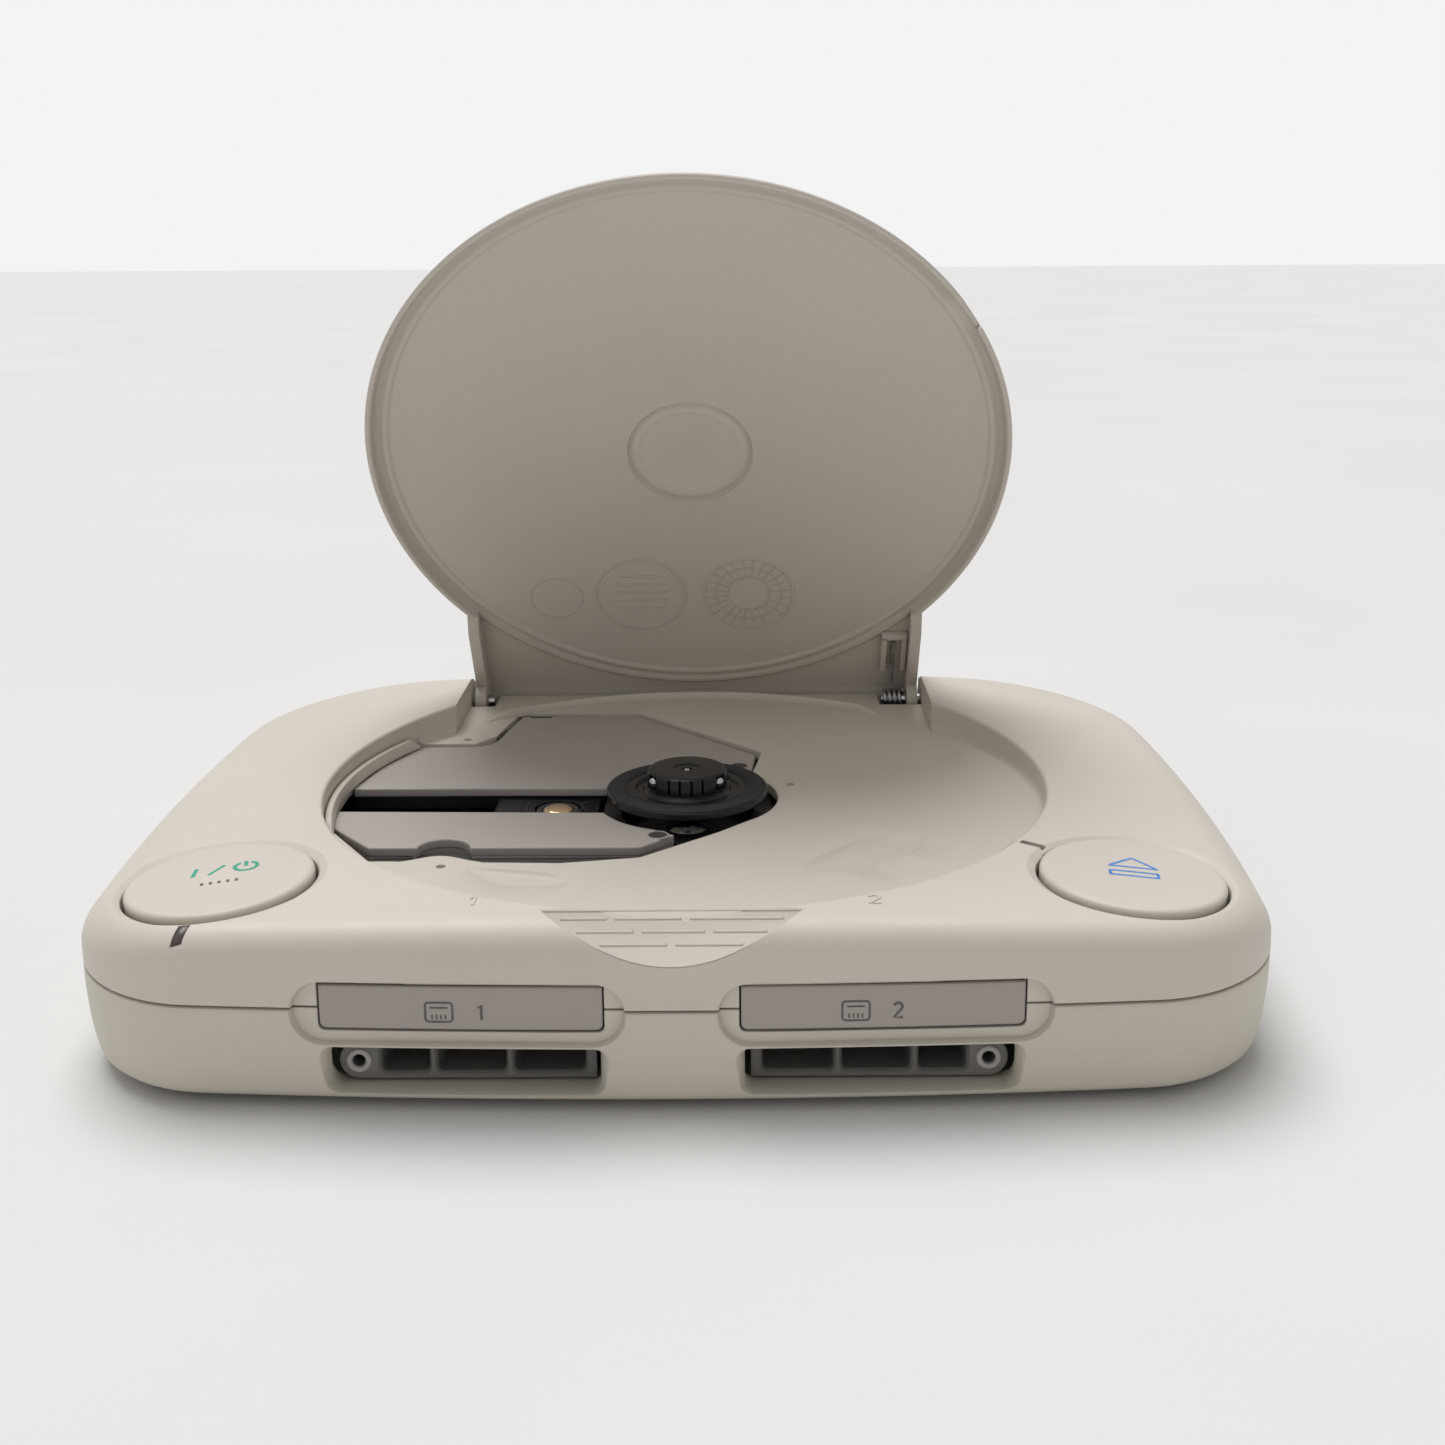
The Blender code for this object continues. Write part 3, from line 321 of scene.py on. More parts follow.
def finish_piece(obj, look, body, smooth=40.0, replaces=(), bevel=0.0):
    clean(obj.data)
    obj.data.materials.clear()
    obj.data.materials.append(LOOKS[look])
    obj.data.shade_smooth()
    if bevel:
        mod = obj.modifiers.new("edges", "BEVEL")
        mod.width = bevel * MM
        mod.segments = 3
        mod.limit_method = "ANGLE"
        mod.angle_limit = math.radians(35)
        mod.use_clamp_overlap = True
    obj.data.set_sharp_from_angle(angle=math.radians(180 if bevel else smooth))
    if bevel:
        weighted = obj.modifiers.new("normals", "WEIGHTED_NORMAL")
        weighted.keep_sharp = True
    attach(obj, body)
    if replaces:
        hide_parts(*replaces)


def clean(mesh):
    shape = bmesh.new()
    shape.from_mesh(mesh)
    bmesh.ops.remove_doubles(shape, verts=shape.verts, dist=2e-7)
    bmesh.ops.recalc_face_normals(shape, faces=shape.faces)
    shape.to_mesh(mesh)
    shape.free()


def linked(name, data):
    """A new object of that data in the scene."""
    obj = bpy.data.objects.new(name, data)
    bpy.context.scene.collection.objects.link(obj)
    return obj


def rough_mesh(name, shape):
    verts, faces = shape
    mesh = bpy.data.meshes.new(name)
    mesh.from_pydata([Vector(v) * MM for v in verts], [], faces)
    clean(mesh)
    return linked(name, mesh)


def combine(obj, parts, operation="DIFFERENCE"):
    """Applies exact Booleans of (points, faces) shapes to an object, in turn."""
    helpers = []
    for k, shape in enumerate(parts):
        helper = rough_mesh(f"{obj.name}_tool_{k}", shape)
        mod = obj.modifiers.new("shape", "BOOLEAN")
        mod.object = helper
        mod.operation = operation
        mod.solver = "EXACT"
        helpers.append(helper)
    bpy.context.view_layer.update()
    graph = bpy.context.evaluated_depsgraph_get()
    mesh = bpy.data.meshes.new_from_object(obj.evaluated_get(graph))
    obj.modifiers.clear()
    obj.data = mesh
    for helper in helpers:
        bpy.data.objects.remove(helper, do_unlink=True)
    return obj


def joined(shapes):
    verts, faces = [], []
    for v, f in shapes:
        base = len(verts)
        verts += v
        faces += [tuple(i + base for i in face) for face in f]
    return verts, faces


def loft(rings, ends=True):
    n = len(rings[0])
    verts = [p for ring in rings for p in ring]
    faces = []
    for i in range(len(rings) - 1 if ends else len(rings)):
        j = (i + 1) % len(rings)
        for k in range(n):
            m = (k + 1) % n
            faces.append((i * n + k, i * n + m, j * n + m, j * n + k))
    if ends:
        faces.append(tuple(reversed(range(n))))
        faces.append(tuple((len(rings) - 1) * n + k for k in range(n)))
    return verts, faces


def circle(cx, cy, r, n=48, start=0.0, turn=360.0):
    steps = n if turn == 360.0 else n - 1
    out = []
    for k in range(n):
        a = math.radians(start + turn * k / steps)
        out.append((cx + r * math.cos(a), cy + r * math.sin(a)))
    return out


def box(lo, hi):
    corners = [(lo[0], lo[1]), (hi[0], lo[1]), (hi[0], hi[1]), (lo[0], hi[1])]
    return prism(corners, lo[2], hi[2])


def prism(points, z0, z1):
    return loft([[(x, y, z) for x, y in points] for z in (z0, z1)])


def tube(points_2d, axis, lo, hi):
    """A prism along X or Y of points given in the other two axes, in X, Y, Z order."""
    if axis == "X":
        return loft([[(a, y, z) for y, z in points_2d] for a in (lo, hi)])
    return loft([[(x, a, z) for x, z in points_2d] for a in (lo, hi)])


def turned(profile, n=64, cx=0.0, cy=0.0):
    """A closed ring from (r, z) points, or a solid body where the profile starts and ends on the axis."""
    if min(r for r, z in profile) > 0.3:
        rings = []
        for k in range(n):
            a = 2 * math.pi * k / n
            rings.append([(cx + r * math.cos(a), cy + r * math.sin(a), z) for r, z in profile])
        return loft(rings, ends=False)
    rings = []
    for r, z in profile:
        rings.append([(x, y, z) for x, y in circle(cx, cy, max(r, 0.002), n)])
    return loft(rings)


def racetrack(x0, x1, z0, z1, r, n=12):
    pts = []
    for cx, cz, a in (
        (x1 - r, z0 + r, -90), (x1 - r, z1 - r, 0), (x0 + r, z1 - r, 90), (x0 + r, z0 + r, 180),
    ):
        pts += circle(cx, cz, r, n, a, 90.0)
    return pts


def placed(shape, matrix):
    verts, faces = shape
    return [tuple(matrix @ Vector(v)) for v in verts], faces


def mirrored(shape):
    verts, faces = shape
    return [(-x, y, z) for x, y, z in verts], [tuple(reversed(f)) for f in faces]


def swept(path, r, n=10, closed=False):
    """A round wire along 3-D points."""
    pts = [Vector(p) for p in path]
    rings = []
    side = None
    for k, p in enumerate(pts):
        a = pts[k - 1] if k or closed else p
        b = pts[(k + 1) % len(pts)] if k < len(pts) - 1 or closed else p
        along = (b - a).normalized()
        if side is None:
            side = along.orthogonal().normalized()
        side = (side - along * side.dot(along)).normalized()
        up = along.cross(side)
        rings.append(
            [
                tuple(p + r * (side * math.cos(t) + up * math.sin(t)))
                for t in (2 * math.pi * j / n for j in range(n))
            ],
        )
    return loft(rings, ends=not closed)


def stroke(points, width, low, high, closed=False, surface=None):
    """A flat raised line on a surface: a ribbon of that width between two heights above it."""
    n = len(points)
    left, right = [], []
    for k in range(n):
        a = points[k - 1] if k or closed else points[k]
        b = points[(k + 1) % n] if k < n - 1 or closed else points[k]
        dx, dy = b[0] - a[0], b[1] - a[1]
        size = math.hypot(dx, dy) or 1.0
        px, py = points[k]
        left.append((px - dy / size * width / 2, py + dx / size * width / 2))
        right.append((px + dy / size * width / 2, py - dx / size * width / 2))
    height = surface or (lambda x, y: 0.0)
    verts = []
    for k in range(n):
        for (x, y), h in ((left[k], low), (right[k], low), (right[k], high), (left[k], high)):
            verts.append((x, y, height(x, y) + h))
    faces = []
    for k in range(n if closed else n - 1):
        m = (k + 1) % n
        for j in range(4):
            i = (j + 1) % 4
            faces.append((4 * k + j, 4 * m + j, 4 * m + i, 4 * k + i))
    if not closed:
        faces.append((0, 1, 2, 3))
        faces.append((4 * n - 1, 4 * n - 2, 4 * n - 3, 4 * n - 4))
    return verts, faces


def turned_2d(points, degrees, cx=0.0, cy=0.0):
    c, s = math.cos(math.radians(degrees)), math.sin(math.radians(degrees))
    return [(cx + x * c - y * s, cy + x * s + y * c) for x, y in points]


def lid_open():
    """From closed-lid coordinates to the open rest pose."""
    hinge = Vector((0.0, HINGE_Y, HINGE_Z))
    return Matrix.Translation(hinge) @ Matrix.Rotation(
        math.radians(-OPEN_DEG), 4, "X",
    ) @ Matrix.Translation(-hinge)


# ---------------------------------------------------------------- case


def outline(n_corner=18, n_front=49, n_side=25):
    """The case plan as (point, outward normal) pairs, anticlockwise from the right back corner."""
    half_w, half_d = HALF_W - BULGE_SIDE, HALF_D - BULGE_FRONT
    flat = []
    corners = (
        (1, 1, CORNER_BACK, 0), (-1, 1, CORNER_BACK, 90), (-1, -1, CORNER_FRONT, 180),
        (1, -1, CORNER_FRONT, 270),
    )
    for i, (sx, sy, r, a) in enumerate(corners):
        flat += circle(sx * (half_w - r), sy * (half_d - r), r, n_corner, a, 90.0)
        nx, ny, nr, na = corners[(i + 1) % 4]
        end = circle(nx * (half_w - nr), ny * (half_d - nr), nr, 2, na, 90.0)[0]
        start = flat[-1]
        count = n_front if i % 2 == 0 else n_side
        for k in range(1, count - 1):
            t = k / (count - 1)
            flat.append(tuple(start[j] * (1 - t) + end[j] * t for j in (0, 1)))
    pts = []
    for x, y in flat:
        u, v = x / half_w, y / half_d
        pts.append((
            x * (1 + BULGE_SIDE / half_w * (1 - v * v)), y * (1 + BULGE_FRONT / half_d * (1 - u * u)),
        ))
    out = []
    for k, p in enumerate(pts):
        a, b = pts[k - 1], pts[(k + 1) % len(pts)]
        dx, dy = b[0] - a[0], b[1] - a[1]
        size = math.hypot(dx, dy)
        out.append((p, (dy / size, -dx / size)))
    return out


def front_y(x):
    u = x / (HALF_W - BULGE_SIDE)
    return -(HALF_D - BULGE_FRONT) * (1 + BULGE_FRONT / (HALF_D - BULGE_FRONT) * (1 - u * u))


def deck(x, y):
    return Z_DECK + DECK_SLOPE * y - DECK_CROWN * x * x


def inset(plan, d, z):
    return [(p[0] - d * n[0], p[1] - d * n[1], z) for p, n in plan]


def well_point(p, r):
    size = math.hypot(p[0], p[1])
    return p[0] / size * r, p[1] / size * r


def shoulder(normal):
    """The rounding between a side and the deck: wide at the sides and back, tighter along the front."""
    return SHOULDER_SIDE + (SHOULDER_FRONT - SHOULDER_SIDE) * max(0.0, -normal[1]) ** 1.5


def shoulder_rings(plan, steps):
    rings = []
    for k in range(steps + 1):
        a = math.pi / 2 * k / steps
        ring = []
        for p, n in plan:
            w = well_point(p, R_WELL + RIM_ROUND)
            room = math.hypot(p[0] - w[0], p[1] - w[1])
            out = min(shoulder(n), max(room - 1.2, 0.5))
            d = out * (1 - math.cos(a))
            x, y = p[0] - d * n[0], p[1] - d * n[1]
            ring.append((x, y, deck(x, y) - shoulder(n) * (1 - math.sin(a))))
        rings.append(ring)
    return rings


def top_shell_shape():
    plan = outline()
    foot = Z_PART + SEAM
    rings = [inset(plan, LIP, foot), inset(plan, LIP * 0.3, foot + 0.1), inset(plan, 0.0, foot + LIP)]
    rings.append(inset(plan, 0.0, Z_PART + 1.0))
    rounding = shoulder_rings(plan, 14)
    rings += rounding
    edge = rounding[-1]
    for k in range(1, 8):
        t = k / 7
        ring = []
        for (x, y, _z), (p, _n) in zip(edge, plan):
            w = well_point(p, R_WELL + RIM_ROUND)
            u, v = x + (w[0] - x) * t, y + (w[1] - y) * t
            ring.append((u, v, deck(u, v)))
        rings.append(ring)
    for k in range(1, 6):
        a = math.pi / 2 * k / 5
        r = R_WELL + RIM_ROUND * (1 - math.sin(a))
        down = RIM_ROUND * (1 - math.cos(a))
        rings.append([(*well_point(p, r), deck(*well_point(p, R_WELL)) - down) for p, _n in plan])
    for k in range(6):
        a = math.pi / 2 * k / 5
        r = R_WELL - FLOOR_ROUND * (1 - math.cos(a))
        z = Z_FLOOR + FLOOR_ROUND * (1 - math.sin(a))
        rings.append([(*well_point(p, r), z) for p, _n in plan])
    for r in (60.0, 45.0, 30.0):
        rings.append([(*well_point(p, r), Z_FLOOR) for p, _n in plan])
    under = Z_FLOOR - FLOOR_T
    rings.append([(*well_point(p, 30.0), under) for p, _n in plan])
    top = []
    for p, _n in plan:
        limit = math.hypot(p[0], p[1]) - WALL - 0.3
        top.append(well_point(p, min(R_WELL + WALL, limit)))
    rings.append([(x, y, under) for x, y in top])
    least = under + 0.6
    rings.append([(x, y, least if y < -60.0 else max(deck(x, y) - WALL - 1.0, least)) for x, y in top])
    hip = []
    for (p, n), (tx, ty) in zip(plan, top):
        d = max(min(WALL + 4.0, 0.7 * math.hypot(p[0] - tx, p[1] - ty) + 0.35), WALL)
        hip.append((p[0] - d * n[0], p[1] - d * n[1]))
    low = under + 0.3
    rings.append([
        (x, y, low if y < -60.0 and abs(x) < 40.0 else max(deck(x, y) - WALL - 2.2, low))
        for x, y in hip
    ])
    rings.append([(p[0] - WALL * n[0], p[1] - WALL * n[1], deck(*p) - WALL - 7.0) for p, n in plan])
    rings.append(inset(plan, WALL, Z_PART + SEAM))
    return loft(rings, ends=False)


def barrel_room():
    inner = circle(HINGE_Y, HINGE_Z, BARREL_IN - 0.5, 17, 0.0, -100.0)
    return inner + circle(HINGE_Y, HINGE_Z, BARREL_OUT + 0.5, 17, -100.0, 100.0)


def drive_opening():
    left = [(-64.6, -13.5), (-52.8, -31.2), (-48.6, -31.25)]
    for k in range(1, 14):
        x = -48.6 + 15.2 * k / 14
        left.append((x, -31.5 + 1.35 * (1 - math.cos(2 * math.pi * k / 14))))
    left += [(-33.4, -31.9), (-20.3, -32.4), (-7.0, -30.0), (6.4, -18.0)]
    hub = circle(0.0, 0.0, R_HUB_OPENING, 25, -50.0, 95.0)
    back = [
        (14.2, 27.0), (-12.3, 55.0), (-38.6, 55.0), (-41.4, 38.7), (-45.1, 33.5), (-56.9, 33.5),
        (-62.4, 20.0), (-64.9, 6.0),
    ]
    return left + hub + back


def scoop_cutter(n=96, r=26.0):
    """The thumb panel's disc, with a small draft at its edge."""
    centre = PANEL_TOP - PANEL_DOWN * 16.7
    side = Vector((1.0, 0.0, 0.0))
    rings = []
    for radius, h in ((r - 0.5, 0.0), (r - 0.15, 0.12), (r, 0.5), (r + 0.5, 14.0)):
        rings.append([
            tuple(centre + (side * math.cos(a) + PANEL_DOWN * math.sin(a)) * radius + PANEL_OUT * h)
            for a in (2 * math.pi * (k + 0.5) / n for k in range(n))
        ])
    return loft(rings)


def face_cut(outer, inner, depth):
    """A cutter through the front face with drafted sides; the floor follows the face's curve."""
    middle = [((a[0] + 2 * b[0]) / 3, (a[1] + 2 * b[1]) / 3) for a, b in zip(outer, inner)]
    return loft([
        [(x, -82.0, z) for x, z in outer],
        [(x, front_y(x) - 0.6, z) for x, z in outer],
        [(x, front_y(x) + depth * 0.35, z) for x, z in middle],
        [(x, front_y(x) + depth, z) for x, z in inner],
    ])


def track_cut():
    outer = racetrack(TRACK_X0 - 0.5, TRACK_X1 + 0.5, TRACK_Z0 - 0.5, TRACK_Z1 + 0.5, TRACK_R + 0.4, 14)
    inner = racetrack(TRACK_X0, TRACK_X1, TRACK_Z0, TRACK_Z1, TRACK_R, 14)
    dense = []
    for ring in (outer, inner):
        full = []
        for k, a in enumerate(ring):
            b = ring[(k + 1) % len(ring)]
            full.append(a)
            if abs(a[0] - b[0]) > 8.0:
                full += [
                    (a[0] + (b[0] - a[0]) * t / 10, a[1] + (b[1] - a[1]) * t / 10)
                    for t in range(1, 10)
                ]
        dense.append(full)
    return face_cut(dense[0], dense[1], 1.1)


def button_matrix(side):
    rot = Matrix.Rotation(BTN_TILT_Y, 4, "X") @ Matrix.Rotation(side * BTN_TILT_X, 4, "Y")
    return Matrix.Translation((side * BTN_X, BTN_Y, BTN_Z)) @ rot


def button_well():
    gap = 0.5
    rim = [(0.0, -7.2), (BTN_R + gap, -7.2), (BTN_R + gap, -1.6), (BTN_R + gap + 0.08, -1.3)]
    rim += [(BTN_R + gap + 1.5, -0.55), (BTN_R + gap + 1.75, -0.38), (BTN_R + gap + 2.0, -0.25)]
    return turned(rim + [(BTN_R + 3.0, 0.1), (BTN_R + 3.0, 6.0), (0.0, 6.0)], 112)


def build_top_shell():
    obj = rough_mesh("top_shell_skin", top_shell_shape())
    block_top = Z_FLOOR + 4.0
    plus = [
        prism(circle(0, 0, 31.0, 96), Z_FLOOR - FLOOR_T, Z_FLOOR),
        box(
            (-NOTCH_HALF - 2.4, RECESS_FRONT_Y, Z_FLOOR - FLOOR_T + 0.05),
            (NOTCH_HALF + 2.4, 69.2, block_top),
        ),
    ]
    combine(obj, plus, "UNION")
    half = NOTCH_HALF
    recess = [(30.0, 45.0), (30.0, Z_FLOOR)] + barrel_room() + [(90.0, Z_FLOOR), (90.0, 45.0)]
    cuts = [tube(recess, "X", -half, half), prism(drive_opening(), 15.0, 30.0), scoop_cutter()]
    for side in (-1, 1):
        cuts.append(placed(button_well(), button_matrix(side)))
    doorway = [(-80.0, 8.0), (-65.0, 8.0), (-65.0, 21.5), (-70.1, 21.5), (-70.1, 20.95), (-80.0, 20.95)]
    for shape in (track_cut(), tube(doorway, "X", DOOR_X0 - DOOR_GAP, DOOR_X1 + DOOR_GAP)):
        cuts += [shape, mirrored(shape)]
    cuts.append(placed(box((R_WELL - 3.0, -2.3, 26.2), (R_WELL + 6.3, 2.3, 28.6)), LATCH_TURN))
    cuts.append(placed(box((R_WELL + 1.1, -0.7, 26.4), (R_WELL + 5.2, 0.7, 33.0)), LATCH_TURN))
    cuts.append(lamp_slot())
    cuts.append(finger_scoop(SCOOP_RIGHT, 1.1))
    cuts.append(finger_scoop(SCOOP_LEFT, 0.8))
    for x0, x1 in ((41.0, half - 0.05), (0.05 - half, -45.0)):
        cuts.append(box((x0, 60.9, 18.0), (x1, 89.0, 30.0)))
    for x, y in ((19.5, 7.1), (-47.1, 36.5), (-40.1, -33.6)):
        cuts.append(turned([(0.0, 23.9), (0.75, 23.9), (0.8, 24.4), (1.1, 26.0), (0.0, 26.0)], 24, x, y))
    combine(obj, cuts)
    finish_piece(obj, "case", "case", 32.0, ("upper_shell",))


def lamp_slot():
    """The narrow window at the left front corner: a short leaning slot over the shoulder."""
    (x0, y0), (x1, y1) = LAMP_BACK, LAMP_FRONT
    half = LAMP_HALF + 0.12
    pts = [(x0 - half, y0 + 0.12), (x0 + half, y0 + 0.12), (x1 + half, y1 - 0.12), (x1 - half, y1 - 0.12)]
    return prism(pts, 25.2, 33.0)


def smooth_loop(points, steps=8):
    """A closed smooth curve through plan points."""
    out = []
    n = len(points)
    for k in range(n):
        a, b, c, d = (points[(k + j - 1) % n] for j in range(4))
        for i in range(steps):
            t = i / steps
            out.append(tuple(
                0.5 * (2 * b[j] + (c[j] - a[j]) * t + (2 * a[j] - 5 * b[j] + 4 * c[j] - d[j]) * t * t
                       + (3 * b[j] - a[j] - 3 * c[j] + d[j]) * t ** 3)
                for j in (0, 1)
            ))
    return out


def finger_scoop(points, depth):
    """A shallow dished hollow in the well floor."""
    loop = smooth_loop(points)
    cx = sum(x for x, y in loop) / len(loop)
    cy = sum(y for x, y in loop) / len(loop)
    dish = ((1.12, -0.9), (1.03, -0.06), (1.0, 0.03), (0.93, 0.35), (0.8, 0.75), (0.6, 0.95), (0.3, 1.0))
    rings = []
    for share, down in dish:
        z = Z_FLOOR - depth * down
        rings.append([(cx + (x - cx) * share, cy + (y - cy) * share, z) for x, y in loop])
    return loft(rings)


def build_floor_details():
    """The raised rib along the back of the disc well and the ledge along its left side."""
    rib = []
    for k in range(61):
        a = math.radians(47.5 + 85.0 * k / 60)
        rib.append((66.6 * math.cos(a), 66.6 * math.sin(a)))
    rib = [(x, y) for x, y in rib if -47.2 < x < 41.2]
    shape = ridge(rib, 1.3, Z_FLOOR - 0.3, 1.9)
    piece("well_back_rib", shape, "case", "case")
    ledge = circle(0.0, 0.0, 65.1, 60, 150.5, 46.5)
    piece("well_left_ledge", ridge(ledge, 1.7, Z_FLOOR - 0.2, 2.3), "case", "case")


def ridge(points, width, z0, height, n=7):
    """A round-topped rib along a plan line, tapering to nothing at both ends."""
    rings = []
    count = len(points)
    for k, (x, y) in enumerate(points):
        a = points[max(k - 1, 0)]
        b = points[min(k + 1, count - 1)]
        dx, dy = b[0] - a[0], b[1] - a[1]
        size = math.hypot(dx, dy)
        nx, ny = -dy / size, dx / size
        end = min(1.0, (0.25 + min(k, count - 1 - k)) / 3.0)
        ring = []
        for j in range(n + 1):
            t = math.pi * j / n
            off = width / 2 * math.cos(t) * (0.75 + 0.25 * end)
            ring.append((
                x + nx * off, y + ny * off,
                z0 + 0.3 + (height - 0.3) * end * min(1.0, 1.25 * math.sin(t)),
            ))
        ring.append((x - nx * width / 2, y - ny * width / 2, z0))
        ring.append((x + nx * width / 2, y + ny * width / 2, z0))
        rings.append(ring)
    return loft(rings)


def build_bottom_shell():
    plan = outline()
    rings = [
        inset(plan, LIP, Z_PART), inset(plan, LIP * 0.3, Z_PART - 0.1), inset(plan, 0.0, Z_PART - LIP),
        inset(plan, 0.0, Z_PART - 1.0),
    ]
    steps = 16
    for k in range(1, steps + 1):
        a = math.pi / 2 * k / steps
        d = UNDERCUT * (1 - math.cos(a)) + 16.0 * max(0.0, math.sin(a) - 0.9)
        rings.append(inset(plan, d, Z_PART - (Z_PART - Z_BOTTOM) * math.sin(a)))
    rings.append(inset(plan, UNDERCUT + 9.0, Z_BOTTOM))
    low = 3.2
    rings += [
        inset(plan, UNDERCUT + WALL + 7.5, low), inset(plan, UNDERCUT + WALL + 1.8, low),
        inset(plan, WALL + 0.7, low + 4.0),
    ]
    rings.append(inset(plan, WALL, Z_PART))
    outer = rings[: 4 + steps + 1]
    inner = rings[4 + steps + 1:]
    floor_hole = 40.0
    outer.append([(*well_point(p, floor_hole), Z_BOTTOM) for p, _n in plan])
    inner.insert(0, [(*well_point(p, floor_hole), low) for p, _n in plan])
    obj = rough_mesh("bottom_shell_skin", loft(outer + inner, ends=False))
    combine(obj, [prism(circle(0, 0, floor_hole + 1.0, 96), Z_BOTTOM, low)], "UNION")
    screw_hole = [(0.0, -1.0), (3.8, -1.0), (3.5, 1.6), (3.2, 1.9), (3.2, 6.0), (0.0, 6.0)]
    foot_pit = [(0.0, -1.0), (6.9, -1.0), (6.4, 1.6), (6.4, 1.9), (0.0, 1.9)]
    cuts = [turned(screw_hole, 40, x, y) for x, y in SCREWS]
    cuts += [turned(foot_pit, 56, x, y) for x, y in FEET]
    hole = racetrack(DOOR_X0 - DOOR_GAP, DOOR_X1 + DOOR_GAP, DOOR_Z0 - DOOR_GAP, 27.0, 1.0, 6)
    port = racetrack(PORT_X0, PORT_X1, PORT_Z0, PORT_Z1, 1.7, 8)
    wide = racetrack(PORT_X0 - 2.3, PORT_X1 + 2.3, PORT_Z0 - 1.0, PORT_Z1 + 0.35, 2.6, 8)
    for shape in (
        track_cut(), tube(hole, "Y", -80.0, -66.0), tube(port, "Y", -80.0, -62.0),
        face_cut(wide, port, 2.4),
    ):
        cuts += [shape, mirrored(shape)]
    cuts.append(tube(racetrack(-14.3, 12.3, 4.9, 13.7, 1.2, 6), "Y", 60.0, 80.0))
    cuts.append(tube(circle(INLET_X, INLET_Z, 4.2, 40), "Y", 60.0, 80.0))
    for k in range(9):
        x = -40.0 + 10.0 * k
        cuts.append(prism(racetrack(x - 1.2, x + 1.2, 10.0, 34.0, 1.15, 6), 0.0, 4.0))
    combine(obj, cuts)
    finish_piece(obj, "case_low", "case", 32.0, ("lower_shell",))


def build_lamp():
    """Smoked window of the power lamp, lying in its slot flush with the shoulder."""
    rings = []
    w = LAMP_HALF
    for k in range(9):
        t = k / 8
        x = LAMP_BACK[0] + (LAMP_FRONT[0] - LAMP_BACK[0]) * t
        y = LAMP_BACK[1] + (LAMP_FRONT[1] - LAMP_BACK[1]) * t
        inside = max(0.0, min(1.0, (y - front_y(x)) / SHOULDER_FRONT))
        z = deck(x, y) - SHOULDER_FRONT * (1 - math.sin(math.acos(1 - inside))) - 0.2
        rings.append([
            (x - w, y, z), (x - w + 0.15, y, z + 0.12), (x + w - 0.15, y, z + 0.12), (x + w, y, z),
            (x + w, y, 25.4), (x - w, y, 25.4),
        ])
    piece("lamp_window", loft(rings), "lamp", "case", replaces=("light_pipe",))


# ---------------------------------------------------------------- lid


def lid_face(r):
    """Height of the dished inner face with the lid shut."""
    return Z_IN + LID_IN_CROWN * (1 - (r / R_LID) ** 2) - 0.15 * min(1.0, r / 58.0)


def lid_profile():
    """The lid as turned, with a flat inner face; the dish is cut out of it later."""
    top = Z_IN + LID_T
    pts = [(0.0, top + LID_CROWN)]
    pts += [(r, top + LID_CROWN * (1 - (r / R_LID) ** 2)) for r in (10.0, 22.0, 33.0, 44.0)]
    pts += [(50.0, 32.2), (55.0, 31.62), (59.0, 31.05)]
    for k in range(10):
        a = math.radians(74.0 - 67.0 * k / 9)
        pts.append((EDGE_R + EDGE_ROUND * math.cos(a), EDGE_Z + EDGE_ROUND * math.sin(a)))
    rim = EDGE_R + EDGE_ROUND
    pts += [
        (rim, SKIRT_Z + 0.25), (rim - 0.25, SKIRT_Z), (rim - 0.9, SKIRT_Z),
        (rim - 1.15, SKIRT_Z + 0.25),
    ]
    pts += [(rim - 1.3, Z_IN - 0.9), (rim - 1.6, Z_IN - 0.3), (rim - 2.2, Z_IN)]
    pts += [(62.1, Z_IN), (61.8, Z_IN - 0.1), (61.5, Z_IN - 0.32), (61.1, Z_IN - 0.4), (0.0, Z_IN - 0.4)]
    return pts


def dish_cutter():
    """The shallow dish of the lid's inner face, with the ring groove and the flat disc in its middle."""
    pts = [(0.0, 20.0), (60.95, 20.0), (60.95, Z_IN - 0.55), (60.8, Z_IN - 0.4), (60.5, Z_IN - 0.28)]
    pts += [(60.1, lid_face(60.1)), (58.0, lid_face(58.0))]
    pts += [(r, lid_face(r)) for r in (52.0, 44.0, 36.0, 28.0, 21.0, 15.0)]
    z = lid_face(13.2)
    pts += [
        (13.2, z), (12.75, z - 0.04), (12.6, z + 0.3), (12.45, z + 0.5), (11.95, z + 0.5),
        (11.7, z + 0.3),
    ]
    pts += [(11.1, z - 0.05), (10.7, z - 0.12), (10.0, z - 0.05), (9.4, z + 0.1), (0.0, z + 0.15)]
    return turned(pts, 176)


